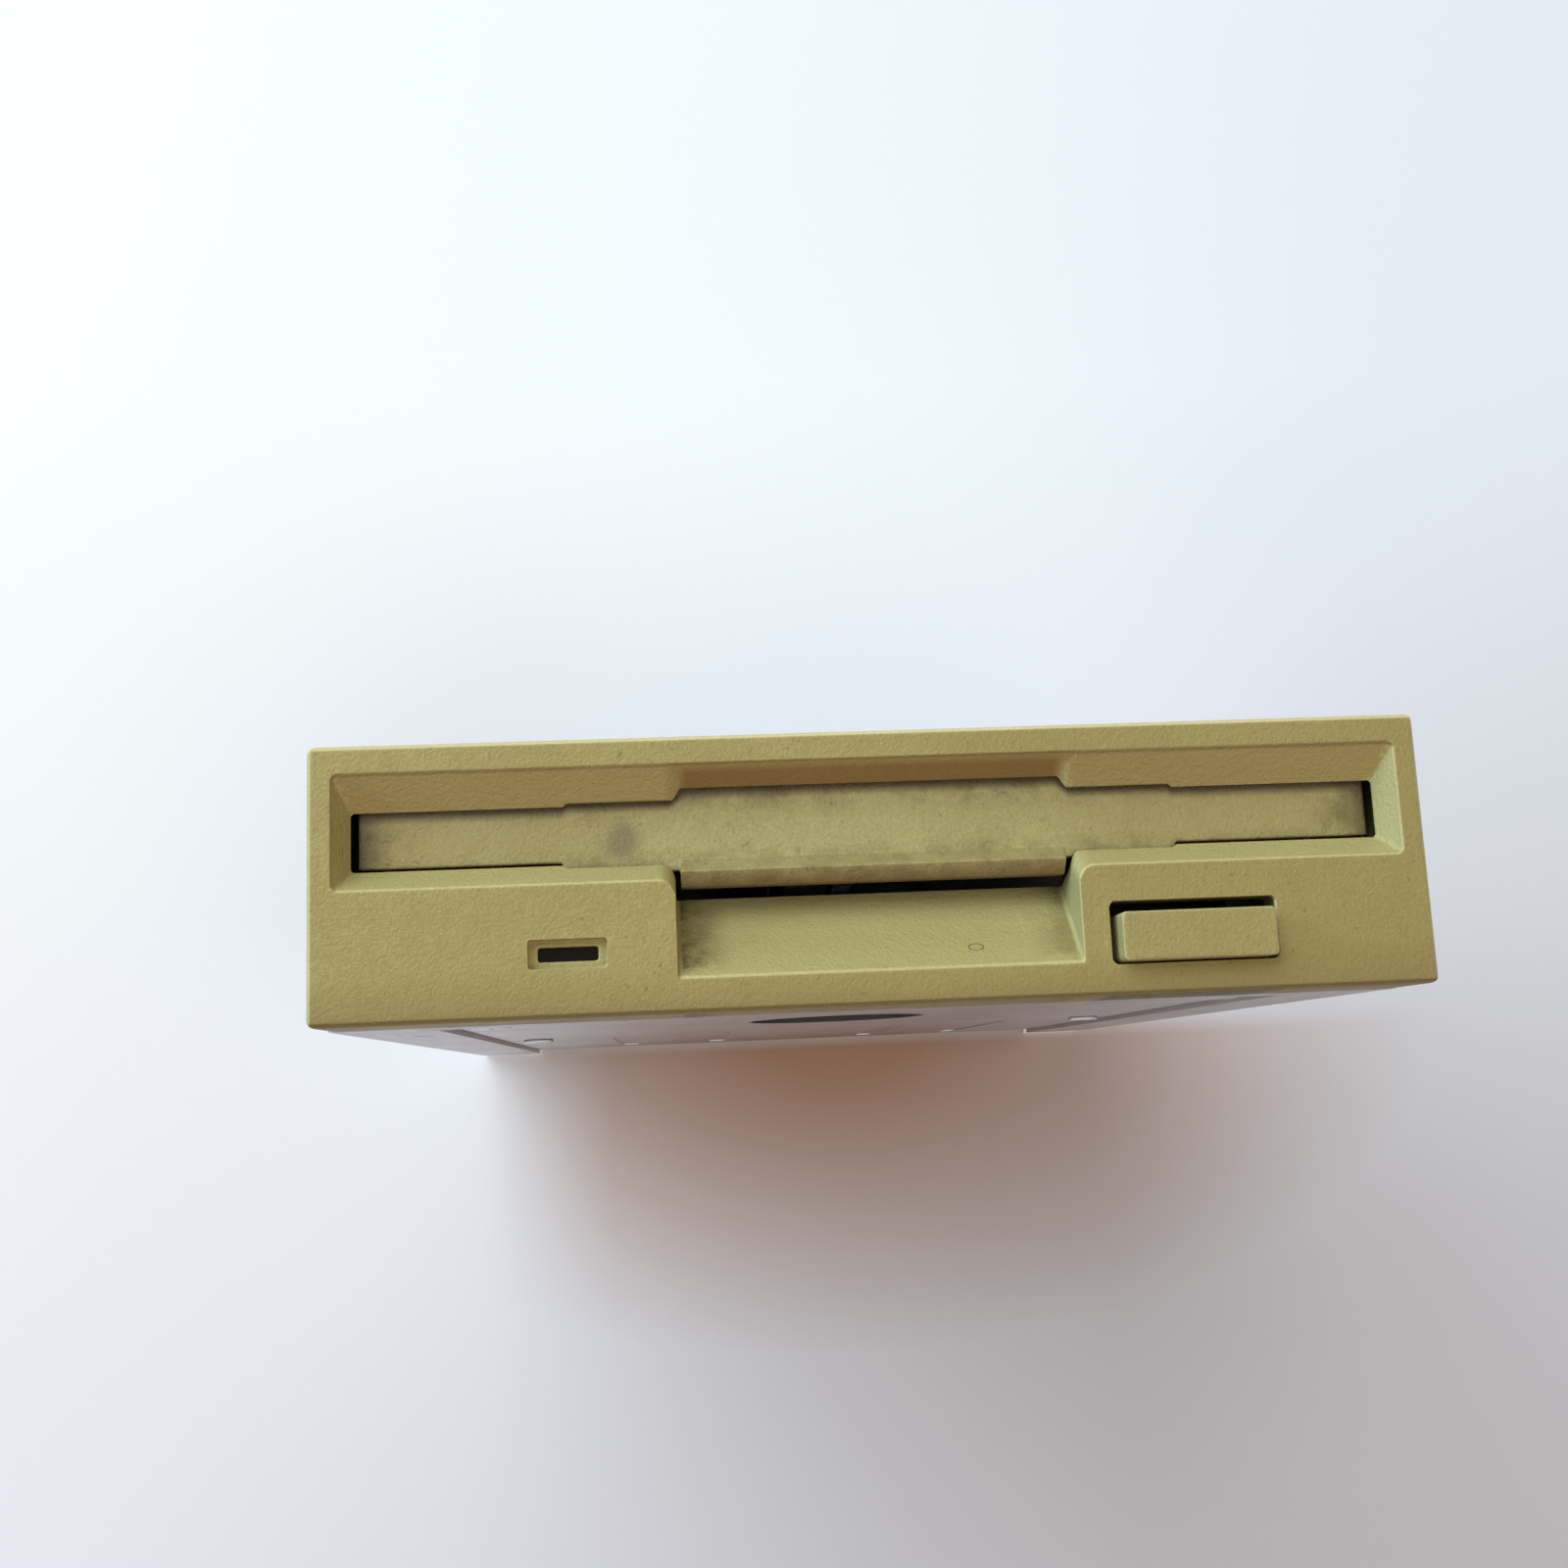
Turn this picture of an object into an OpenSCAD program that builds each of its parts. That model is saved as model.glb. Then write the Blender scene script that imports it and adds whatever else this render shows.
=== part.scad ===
// Internal floppy disk drive for 90 mm disks, lying flat with its slot towards -Y.
// Sizes are in millimetres. Depths run back from the bezel's front face, heights up from the underside.

/* [Overall] */
// Width across the bezel and the frame
overall_w = 101.6; // [101:0.1:108]
// Height of the bezel, and of the frame with its cover
overall_h = 25; // [24.8:0.1:30]
// Depth from the bezel's front face to the rear
overall_d = 146; // [144:0.5:170]

/* [Bezel] */
// Depth of the bezel's outer wall
bezel_depth = 10; // [9:0.1:11]
// Thickness of the bezel's outer wall
bezel_wall = 1.8; // [1.4:0.1:2.2]
// Thickness of the bezel's front
face_t = 3.2; // [2.8:0.1:3.6]
// Corner radius of the bezel seen from the front
bezel_corner = 0.8; // [0.3:0.1:2]
// Chamfer around the front face
bezel_edge = 0.4; // [0.1:0.1:1]

/* [Disk slot] */
// Rim left beside the slot's mouth on the front face
mouth_rim = 2.1; // [1.6:0.1:2.8]
// Height of the mouth's lower edge
mouth_low = 11.85; // [11.6:0.05:12.2]
// Depth of the mouth's upper edge below the bezel's top
mouth_drop = 2.5; // [2:0.1:3]
// Corner radius of the mouth
mouth_corner = 0.8; // [0.2:0.1:1.5]
// Lean of the mouth's side walls
slope_side = 1.4; // [1:0.1:2]
// Rise of the mouth's floor
slope_floor = 2.15; // [1.8:0.05:2.4]
// Height of the slot at the back of the mouth
slot_h = 5.15; // [4.8:0.05:5.5]
// Step by which the slot grows taller towards its middle
slot_step = 0.42; // [0.2:0.02:0.6]
// Half width of the taller middle of the slot
slot_step_half = 28; // [24:0.5:32]
// Width of the finger notch in the roof
notch_w = 34.8; // [28:0.1:38]
// Steepness of the finger notch's roof beside that of the mouth's roof
notch_ease = 0.582; // [0.4:0.01:0.8]
// Radius of the roof's noses beside the finger notch
nose_r = 1.9; // [0.5:0.1:2.2]

/* [Finger scoop] */
// Width of the finger scoop
scoop_w = 36.5; // [30:0.1:40]
// Height of the scoop's lower edge on the front face
scoop_low = 3.05; // [2.6:0.05:4]
// Height of the scoop's floor at its back
scoop_high = 10.9; // [9.5:0.05:11]
// Depth of the scoop at its back
scoop_depth = 8; // [7:0.1:8.4]
// Corner radius where the scoop meets the slot
scoop_corner = 1.5; // [0.5:0.1:2]

/* [Door] */
// Thickness of the door
door_t = 1.2; // [1:0.1:1.4]
// Width of the door's raised lip
lip_w = 35.5; // [28:0.1:36]
// Reach of the lip in front of the door
lip_reach = 1.4; // [0.8:0.1:1.6]

/* [Lamp and button] */
// Place of the lamp window's centre, from the middle
lamp_x = -28; // [-36:0.1:-24]
// Height of the lamp window's centre
lamp_z = 5.7; // [5:0.1:6]
// Width of the lamp recess
lamp_recess_w = 7; // [5:0.1:9]
// Height of the lamp recess
lamp_recess_h = 2.6; // [2:0.1:3]
// Width of the lamp window
lamp_w = 5.35; // [4:0.05:6]
// Height of the lamp window
lamp_h = 1.27; // [1:0.01:1.6]
// Place of the button's centre, from the middle
button_x = 28.5; // [27:0.1:30]
// Width of the button
button_w = 14.1; // [12:0.1:15]
// Height of the button
button_h = 4.4; // [4:0.1:4.8]
// Height of the button's underside
button_low = 3; // [2.8:0.1:3.2]
// How far the button stands out with no disk in
button_proud = 1.8; // [1:0.1:3]
// Gap beside the button
button_side_gap = 0.6; // [0.3:0.05:1]
// Gap above the button
button_top_gap = 1.1; // [0.5:0.05:1.4]
// Forward travel of the button and slide plate
slide_travel = 4.5; // [4:0.1:5]

/* [Mounting] */
// Depth of the front mounting holes
mount_front = 31; // [28:0.5:33]
// Distance between the front and rear mounting holes
mount_pitch = 70; // [60:0.5:72]
// Height of the side mounting holes
mount_z = 5; // [4.5:0.1:5.5]
// Distance of the bottom mounting holes from the frame's side
mount_inset = 5.8; // [5.2:0.1:6.2]
// Diameter of the tapped mounting holes
mount_d = 2.5; // [2.4:0.05:2.6]

/* [Disk path] */
// Room beside the disk for the holder, slide plate and walls
side_room = 5.8; // [5.7:0.05:6.4]
// Thickness of the disk
disk_t = 3.3; // [3:0.1:3.6]
// Depth of the spindle's axis
spindle_y = 48.5; // [47:0.1:50]
// How far the disk drops onto the spindle
disk_drop = 2.7; // [2.4:0.1:2.8]
// Radius of the outermost track
track_out = 39.5; // [39:0.1:40]
// Head travel from the outermost to the innermost track
head_travel = 14.8; // [12:0.1:15.5]

/* [Sheet metal] */
// Thickness of the frame's deck
deck_t = 1.2; // [1:0.1:1.4]
// Height of the deck's underside
deck_low = 6.8; // [6.6:0.1:6.9]
// Thickness of the frame's lower rails
rail_t = 2.2; // [1.8:0.1:2.3]
// Height of the frame's lower rails
rail_h = 11; // [10:0.1:11.5]
// Thickness of the cover, shield, holder and slide plate
sheet_t = 0.8; // [0.6:0.05:0.9]
// Diameter of the spindle window in the shield
window_d = 20; // [16:0.5:24]

/* [Hidden] */
$fn = 48;
// Gap between pieces that move past each other
clear = 0.3;
// Radial gap of a turning or sliding fit
run = 0.05;
// Radial gap of a fixed pin or screw in its hole
seat = 0.02;
// Overlap that keeps a cut clear of the face it opens
cut = 1;

half_w = overall_w / 2;
front_y = -(overall_d - button_proud) / 2;
plastic = [0.64, 0.60, 0.39];
door_plastic = [0.63, 0.60, 0.42];
dark_plastic = [0.10, 0.10, 0.10];
lamp_dark = [0.13, 0.11, 0.09];
zinc = [0.74, 0.74, 0.75];
steel = [0.62, 0.63, 0.65];
copper = [0.72, 0.42, 0.22];
board_green = [0.10, 0.30, 0.16];
magnet_grey = [0.20, 0.20, 0.21];
white_plastic = [0.88, 0.87, 0.83];
gold = [0.80, 0.66, 0.32];
ribbon_tan = [0.72, 0.52, 0.26];

mouth_w = overall_w - 2 * mouth_rim;
mouth_top = overall_h - mouth_drop;
mouth_h = mouth_top - mouth_low;
slot_low = mouth_low + slope_floor;
slot_top = slot_low + slot_h;
slot_z = (slot_top + slot_low) / 2;
slope_roof = mouth_top - slot_top;
step_out = slot_step_half + slot_step;
notch_drop = slope_roof * notch_ease;
roof_angle = atan(slope_roof / face_t);
floor_angle = atan(slope_floor / face_t);
scoop_rise = (scoop_high - scoop_low) / scoop_depth;

// Door
door_front = face_t + 0.4;
door_back = door_front + door_t;
door_half = mouth_w / 2 - slope_side - 0.5;
hinge_y = door_back - 0.2;
hinge_z = mouth_top - 0.9;
hinge_barrel_r = 0.9;
hinge_pin_r = 0.7;
door_low = slot_low - slot_step - 0.4;
door_edge = slot_low + 0.2;
lip_low = scoop_high + 0.6;
lip_ridge = door_low - 0.25;
lip_front = door_front - lip_reach;
spring_x0 = -door_half + 5;
spring_x1 = spring_x0 + 3;

// Lamp and button
lamp_recess_depth = 1;
button_high = button_low + button_h;
arm_w = 9;
arm_low = button_low + 1.7;

// Frame
deck_high = deck_low + deck_t;
rail_in = half_w - rail_t;
skirt_t = sheet_t;
wall_out = half_w - skirt_t - 0.1;
wall_in = wall_out - 1;
mount_across = overall_w - 2 * mount_inset;
flange_t = 1.2;
flange_in = mount_across / 2 - 3.5;
sill_back = bezel_depth + 5.5;
deck_front = bezel_depth + 1;
deck_back = overall_d - 16.5;
cover_low = overall_h - sheet_t;
dimple_deep = 0.6;
panel_half = half_w - 19.8;
panel_front = bezel_depth + 25;
panel_back = overall_d - 27;
wall_high = cover_low - dimple_deep;
tab_t = 1.2;
clip_x = half_w - 10.8;
clip_w = 4.8;
clip_y0 = bezel_depth + 2.2;
clip_y1 = clip_y0 + 1.4;
cover_screw_x = half_w - 8.8;
cover_screw_y = [bezel_depth + 14, overall_d - 16];
shield_low = 0.6;
shield_t = 0.6;
shield_high = shield_low + shield_t;
shield_screw_x = half_w - 13.8;
shield_screw_y = [spindle_y - 26.5, spindle_y + 33.5];

// Disk, holder and slide plate
disk_w = overall_w - 2 * side_room;
disk_low = slot_z - disk_t / 2 - disk_drop;
medium_z = slot_z - disk_drop;
holder_in = disk_w / 2 + 0.5;
holder_out = holder_in + sheet_t;
holder_floor = slot_z - 2.2;
holder_roof = slot_z + 2.2;
holder_top = holder_roof + sheet_t;
holder_front = bezel_depth + 6.5;
holder_back = spindle_y + 47;
holder_pin_r = 1.2;
holder_pin_z = slot_z - 0.3;
holder_pin_y = [spindle_y - 20.5, spindle_y + 35.5];
slide_in = holder_out + clear;
slide_out = slide_in + sheet_t;
slide_low = deck_high + 0.4;
slide_high = slide_low + sheet_t;
slide_front = spindle_y - 25.5;
slide_back = holder_back - 3.5;
strip_in = slide_out - 13.4;
guide_x = slide_out - 11.2;
guide_y = [spindle_y - 14, spindle_y + 31];
guide_r = 1.25;
coil_x = slide_out - 7.2;
coil_front = spindle_y + 3;
coil_back = coil_front + 16.5;
coil_r = 1.15;
coil_z = deck_high + 0.15 + coil_r;
lever_x = -28;
lever_y = spindle_y + 11.5;
lever_len = 34;
lever_rest = 60;
lever_pin_r = 1.2;
lever_low = holder_top + 0.3;
lever_t = 1;

// Spindle
board_high = deck_low - 0.6;
board_low = board_high - 0.8;
coil_low = board_low - 1.4;
magnet_high = coil_low - 0.4;
rotor_low = shield_high + 0.6;
rotor_high = rotor_low + 0.6;
rotor_r = 20;
shaft_r = 1.5;
bearing_r = 4.2;
bearing_low = magnet_high + 0.7;
bearing_flange = deck_high + 0.8;
hub_low = bearing_flange + 0.4;
hub_high = disk_low + 0.25;
hub_r = 12;
drive_pin_at = 10.2;
drive_pin_r = 1.2;

// Heads
rod_r = 1.2;
rod_x = 13;
rod_z = deck_high + 2.1;
rod_front = spindle_y + 13.5;
rod_back = overall_d - 21;
head_y = spindle_y + track_out;
head_len = 7;
head_w = 6;
carriage_front = head_y - 6.5;
carriage_back = rod_back - 4;
carriage_low = deck_high + 0.4;
carriage_high = disk_low - 0.35;
carriage_half = rod_x + 2.5;
tower_front = carriage_back - 10;
tower_high = medium_z + 1.3;
arm_low_z = medium_z + 2.5;
arm_t = 1.4;
pivot_y = carriage_back - 4;
pivot_z = arm_low_z + arm_t / 2;
pivot_r = 0.8;
head_lift = asin((cover_low - 1.2 - pivot_z) / (pivot_y - head_y + head_len / 2));
screw_x = -28;
can_r = (cover_low - 1.4 - deck_high) / 2;
screw_z = deck_high + 0.2 + can_r;
screw_r = 1.5;
journal_r = 0.95;
can_front = tower_front + 7.6;
can_back = can_front + 13;
follower_y = carriage_back - 5.7;
follower_r = 0.5;
bracket_front = follower_y - head_travel - 3.5;
bracket_back = bracket_front + 2;
sensor_x = carriage_half + 1.5;
sensor_y = carriage_back - 5;

// Switches
switch_y = deck_front + 3;
switch_x = [7 - disk_w / 2, disk_w / 2 - 7, 14 - disk_w / 2];
switch_half = 2.8;
switch_high = deck_high + 3.5;
plunger_r = 0.8;
plunger_low = deck_high + 2.2;
plunger_high = disk_low + 0.95;
plunger_travel = 1;

// Boards and connectors
main_low = 2.2;
main_high = main_low + 1.4;
main_front = spindle_y + 39.5;
main_back = overall_d - 2.5;
main_half = half_w - 10.8;
main_screw_x = main_half - 4;
main_screw_y = [main_front + 6, deck_back - 3.5];
motor_half = half_w - 17.8;
motor_screw_x = motor_half - 4;
motor_screw_y = [spindle_y - 22.5, spindle_y + 27.5];
motor_front = spindle_y - 28.5;
motor_back = main_front - 6;
pin_pitch = 2.54;
data_ways = 17;
data_x = 14;
data_half = 25;
data_front = overall_d - 11.5;
data_back = overall_d - 0.4;
data_z = main_high + 4.4;
pin_half = 0.32;
power_x = -28;
power_half = 6.5;
power_pitch = 2.5;
power_front = overall_d - 10;
power_z = main_high + 3.4;
ribbon_y = rod_back + 2.6;

// Shapes that repeat
module placed() translate([0, front_y, 0]) children();

module both_sides() {
    children();
    mirror([1, 0, 0]) children();
}

module block(x0, x1, y0, y1, z0, z1) translate([x0, y0, z0]) cube([x1 - x0, y1 - y0, z1 - z0]);

module along_x(x0, x1) translate([x0, 0, 0]) rotate([90, 0, 90]) linear_extrude(x1 - x0) children();

module along_y(y0, y1) translate([0, y1, 0]) rotate([90, 0, 0]) linear_extrude(y1 - y0) children();

module along_z(z0, z1) translate([0, 0, z0]) linear_extrude(z1 - z0) children();

module rod_along_x(r, x0, x1, y, z) translate([x0, y, z]) rotate([0, 90, 0]) cylinder(r = r, h = x1 - x0);

module rod_along_y(r, y0, y1, x, z) translate([x, y1, z]) rotate([90, 0, 0]) cylinder(r = r, h = y1 - y0);

module post(r, x, y, z0, z1) translate([x, y, z0]) cylinder(r = r, h = z1 - z0);

module rounded_rect(w, h, r) {
    square([w - 2 * r, h], center = true);
    square([w, h - 2 * r], center = true);
    for (sx = [-1, 1], sy = [-1, 1]) translate([sx * (w / 2 - r), sy * (h / 2 - r)]) circle(r);
}

module stadium(r, from, to) {
    step = to - from;
    for (p = [from, to]) translate(p) circle(r);
    flat_r = r - 0.002;
    translate(from) rotate(atan2(step[1], step[0])) translate([0, -flat_r])
        square([norm(step), 2 * flat_r]);
}

module corner_fill(r, sink) difference() {
    translate([-0.5, -0.5]) square(r + 0.5);
    translate([r, r - sink]) circle(r);
}

// Front bezel
module bezel_skin() intersection() {
    along_y(0, bezel_depth) translate([0, overall_h / 2]) rounded_rect(overall_w, overall_h, bezel_corner);
    along_x(-half_w, half_w) polygon([[0, bezel_edge], [bezel_edge, 0], [bezel_depth, 0],
        [bezel_depth, overall_h], [bezel_edge, overall_h], [0, overall_h - bezel_edge]]);
    along_z(0, overall_h) polygon([[-half_w + bezel_edge, 0], [half_w - bezel_edge, 0],
        [half_w, bezel_edge], [half_w, bezel_depth], [-half_w, bezel_depth], [-half_w, bezel_edge]]);
}

module slot_funnel() intersection() {
    along_y(-cut, face_t + cut) translate([0, (mouth_top + mouth_low) / 2])
        rounded_rect(mouth_w, mouth_h, mouth_corner);
    along_x(-half_w, half_w) polygon([[-cut, mouth_low], [0, mouth_low], [face_t, slot_low],
        [face_t + cut, slot_low], [face_t + cut, slot_top], [face_t, slot_top], [0, mouth_top],
        [-cut, mouth_top]]);
    along_z(0, overall_h) polygon([[-mouth_w / 2, -cut], [mouth_w / 2, -cut], [mouth_w / 2, 0],
        [mouth_w / 2 - slope_side, face_t], [mouth_w / 2 - slope_side, face_t + cut],
        [slope_side - mouth_w / 2, face_t + cut], [slope_side - mouth_w / 2, face_t], [-mouth_w / 2, 0]]);
}

module slot_middle() along_y(1, face_t + cut) polygon([[-step_out, slot_low],
    [-slot_step_half, slot_low - slot_step], [slot_step_half, slot_low - slot_step], [step_out, slot_low],
    [step_out, slot_top], [slot_step_half, slot_top + slot_step], [-slot_step_half, slot_top + slot_step],
    [-step_out, slot_top]]);

module notch_side() polygon([[0, slot_z], [face_t + cut, slot_z], [face_t + cut, mouth_top - notch_drop],
    [face_t, mouth_top - notch_drop], [0, mouth_top]]);

module finger_notch() {
    along_x(-notch_w / 2, notch_w / 2) notch_side();
    both_sides() intersection() {
        translate([notch_w / 2, 0, mouth_top]) rotate([-roof_angle, 0, 0]) along_y(-0.4, face_t + 3)
            corner_fill(nose_r, 0.05);
        along_x(0, half_w) notch_side();
    }
}

module finger_scoop() {
    along_x(-scoop_w / 2, scoop_w / 2) polygon([[-cut, scoop_low - cut * scoop_rise],
        [scoop_depth, scoop_high], [scoop_depth, slot_z], [-cut, slot_z]]);
    both_sides() intersection() {
        translate([scoop_w / 2, 0, mouth_low]) rotate([floor_angle, 0, 0]) mirror([0, 0, 1])
            along_y(-2, face_t + 3) corner_fill(scoop_corner, 0);
        block(0, half_w, -cut, face_t + cut, 0, slot_z);
    }
}

module scoop_shell() {
    along_x(-scoop_w / 2 - 1.3, scoop_w / 2 + 1.3) polygon([[face_t - 0.5, bezel_wall - 0.3],
        [face_t - 0.5, scoop_low + face_t * scoop_rise], [scoop_depth - 0.5, scoop_high],
        [scoop_depth + 1.2, scoop_high], [face_t + 2, bezel_wall - 0.3]]);
    both_sides() along_x(scoop_w / 2 - 0.5, scoop_w / 2 + 1.3) polygon([[face_t - 0.5, bezel_wall - 0.3],
        [face_t - 0.5, door_low - 0.5], [face_t + 1, door_low - 1.2], [scoop_depth - 0.5, scoop_high],
        [scoop_depth + 1.2, scoop_high], [face_t + 2, bezel_wall - 0.3]]);
}

module hinge_lugs() both_sides() difference() {
    block(door_half + clear, door_half + clear + 1.7, face_t - 0.5, hinge_y + 1.8, hinge_z - 1.8,
        overall_h - bezel_wall + 0.3);
    rod_along_x(hinge_pin_r + run, door_half, door_half + 3, hinge_y, hinge_z);
}

module clip_block(spare, y0, y1, z0, z1)
    block(clip_x - clip_w / 2 - spare, clip_x + clip_w / 2 + spare, y0 - spare, y1 + spare, z0, z1);

module bezel_clips() both_sides() {
    clip_block(0, bezel_depth - 2, clip_y1 + 0.4, flange_t + 0.2, flange_t + 1.2);
    clip_block(0, clip_y0, clip_y1, 0.3, flange_t + 0.5);
    clip_block(0, bezel_depth - 2, clip_y1 + 0.4, cover_low - 1.3, cover_low - 0.2);
    clip_block(0, clip_y0, clip_y1, cover_low - 0.5, overall_h - 0.3);
}

module front_bezel() color(plastic) placed() {
    difference() {
        union() {
            difference() {
                bezel_skin();
                block(-half_w + bezel_wall, half_w - bezel_wall, face_t, bezel_depth + cut, bezel_wall,
                    overall_h - bezel_wall);
            }
            scoop_shell();
        }
        slot_funnel();
        slot_middle();
        finger_notch();
        finger_scoop();
        along_y(-cut, lamp_recess_depth) translate([lamp_x, lamp_z])
            rounded_rect(lamp_recess_w, lamp_recess_h, 0.3);
        along_y(0, face_t + cut) translate([lamp_x, lamp_z]) square([lamp_w, lamp_h], center = true);
        along_y(-cut, face_t + cut)
            translate([button_x, (button_low - 0.2 + button_high + button_top_gap) / 2])
            rounded_rect(button_w + 2 * button_side_gap, button_h + button_top_gap + 0.2, 0.5);
    }
    hinge_lugs();
    bezel_clips();
}

// Slot door
module slot_door() color(door_plastic) placed() {
    difference() {
        union() {
            along_y(door_front, door_back) {
                translate([-door_half, door_edge]) square([2 * door_half, hinge_z - door_edge]);
                translate([-step_out, door_low]) square([2 * step_out, hinge_z - door_low]);
            }
            rod_along_x(hinge_barrel_r, -door_half, door_half, hinge_y, hinge_z);
            along_x(-lip_w / 2, lip_w / 2) polygon([[door_front, slot_low + 0.1], [lip_front, lip_ridge],
                [door_front - 0.2, lip_low], [door_back, lip_low], [door_back, slot_low + 0.1]]);
        }
        block(spring_x0 - clear, spring_x1 + clear, 0, bezel_depth, hinge_z - 1.6, overall_h);
    }
    rod_along_x(hinge_pin_r, door_half - 1, door_half + 1.7, hinge_y, hinge_z);
    rod_along_x(hinge_pin_r, -door_half - 1.7, -door_half + 1, hinge_y, hinge_z);
    rod_along_x(0.6, spring_x0 - 1, spring_x1 + 1, hinge_y, hinge_z);
}

module door_spring() color(steel) placed() {
    difference() {
        rod_along_x(1.2, spring_x0, spring_x1, hinge_y, hinge_z);
        rod_along_x(0.65, spring_x0 - 1, spring_x1 + 1, hinge_y, hinge_z);
    }
    post(0.2, spring_x1 - 0.2, hinge_y + 0.42, hinge_z - 4.5, hinge_z - 0.9);
}

// Eject button and slide plate
module arm_block(y0, y1, z0, z1) block(button_x - arm_w / 2, button_x + arm_w / 2, y0, y1, z0, z1);

module eject_button() color(plastic) placed() difference() {
    along_y(-button_proud, face_t + 4) translate([button_x, (button_low + button_high) / 2])
        rounded_rect(button_w, button_h, 0.4);
    arm_block(1, face_t + 5, arm_low, arm_low + sheet_t);
}

module slide_flange() along_x(slide_in, slide_out) difference() {
    translate([slide_front, slide_low]) square([slide_back - slide_front, holder_roof - slide_low]);
    for (y = holder_pin_y) stadium(holder_pin_r + clear, [y - 0.2, holder_pin_z + 0.12],
        [y + slide_travel + 0.2, holder_pin_z - disk_drop - 0.12]);
}

module slide_plate() color(zinc) placed() {
    along_z(slide_low, slide_high) difference() {
        union() {
            translate([-slide_out, slide_front]) square([2 * slide_out, 6]);
            for (s = [-1, 1]) translate([s < 0 ? -slide_out : strip_in, slide_front])
                square([slide_out - strip_in, slide_back - slide_front]);
            translate([button_x - arm_w / 2, deck_front + 4]) square([arm_w, slide_front - deck_front]);
        }
        for (s = [-1, 1]) {
            for (y = guide_y) stadium(guide_r + clear, [s * guide_x, y], [s * guide_x, y + slide_travel]);
            translate([s * coil_x - 2, coil_front - slide_travel - 2.2])
                square([4, coil_back - coil_front + slide_travel + 2.2]);
        }
    }
    both_sides() slide_flange();
    arm_block(deck_front + 4, deck_front + 4 + sheet_t, arm_low, slide_high);
    arm_block(1, deck_front + 4 + sheet_t, arm_low, arm_low + sheet_t);
}

module slide_guides() color(steel) placed() both_sides() for (y = guide_y) {
    post(guide_r, guide_x, y, deck_high, slide_high + 0.35);
    post(guide_r + 1, guide_x, y, slide_high + 0.35, slide_high + 1);
}

module slide_springs() color(steel) placed() both_sides() {
    difference() {
        rod_along_y(coil_r, coil_front + 2, coil_back - 2, coil_x, coil_z);
        rod_along_y(coil_r - 0.35, coil_front, coil_back, coil_x, coil_z);
    }
    rod_along_y(0.2, coil_front, coil_front + 2.2, coil_x, coil_z + coil_r - 0.2);
    rod_along_y(0.2, coil_back - 2.2, coil_back, coil_x, coil_z - coil_r + 0.2);
}

// Disk holder and shutter lever
module disk_holder() color(zinc) placed() difference() {
    union() {
        block(-holder_out, holder_out, holder_front, holder_back, holder_roof, holder_top);
        both_sides() {
            block(holder_in, holder_out, holder_front, holder_back, holder_floor - sheet_t, holder_top);
            block(holder_in - 3, holder_out, holder_front, holder_back,
                holder_floor - sheet_t, holder_floor);
            for (y = holder_pin_y)
                rod_along_x(holder_pin_r, holder_in + 0.2, wall_out - 0.2, y, holder_pin_z);
        }
        post(2.6, lever_x, lever_y, holder_top - 0.2, lever_low);
    }
    block(-6, 6, head_y - head_travel - 9, holder_back + cut, holder_roof - cut, holder_top + cut);
    block(lever_x - 12, -5.5, lever_y + lever_len * sin(lever_rest) - 5.5, holder_back + cut,
        holder_roof - cut, holder_top + cut);
    post(lever_pin_r + seat, lever_x, lever_y, holder_roof - cut, lever_low + cut);
}

module lever_pivot() color(steel) placed() {
    post(lever_pin_r, lever_x, lever_y, holder_roof + 0.1, lever_low + lever_t + 0.3);
    post(2, lever_x, lever_y, lever_low + lever_t + 0.3, lever_low + lever_t + 0.8);
}

module shutter_lever() color(dark_plastic) placed()
    translate([lever_x, lever_y, 0]) rotate([0, 0, lever_rest]) difference() {
        union() {
            along_z(lever_low, lever_low + lever_t) {
                stadium(1.5, [0, 0], [lever_len, 0]);
                circle(3);
            }
            post(1.3, lever_len, 0, holder_floor + 0.6, lever_low + lever_t);
        }
        post(lever_pin_r + run, 0, 0, lever_low - cut, lever_low + lever_t + cut);
    }

// Spindle motor
module motor_board() color(board_green) placed() difference() {
    union() {
        block(-motor_half, motor_half, motor_front, motor_back, board_low, board_high);
        block(lamp_x - 5, lamp_x + 5, motor_front - 2, motor_front + 1, board_low, board_high);
    }
    post(6.2, 0, spindle_y, board_low - cut, board_high + cut);
    for (x = [-motor_screw_x, motor_screw_x], y = motor_screw_y)
        post(1.2, x, y, board_low - cut, board_high + cut);
}

module stator_coils() color(copper) placed()
    translate([0, spindle_y, 0]) for (i = [0:5]) rotate([0, 0, 30 + i * 60]) difference() {
        post(5.2, 13, 0, coil_low, board_low);
        post(1.8, 13, 0, coil_low - cut, board_low + cut);
    }

module spindle_bearing() color(gold) placed() difference() {
    union() {
        post(bearing_r, 0, spindle_y, bearing_low, bearing_flange);
        post(bearing_r + 2.4, 0, spindle_y, deck_high, bearing_flange);
    }
    post(shaft_r + run, 0, spindle_y, bearing_low - cut, bearing_flange + cut);
}

module rotor_plate() color(steel) placed() difference() {
    union() {
        post(rotor_r, 0, spindle_y, rotor_low, rotor_high);
        post(3.2, 0, spindle_y, rotor_low, bearing_low - 0.3);
    }
    post(shaft_r + seat, 0, spindle_y, rotor_low - cut, bearing_low + cut);
}

module ring_magnet() color(magnet_grey) placed() difference() {
    post(rotor_r - 0.5, 0, spindle_y, rotor_high, magnet_high);
    post(7.5, 0, spindle_y, rotor_high - cut, magnet_high + cut);
}

module spindle_shaft() color(steel) placed() post(shaft_r, 0, spindle_y, rotor_low, hub_high + 1.3);

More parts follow.
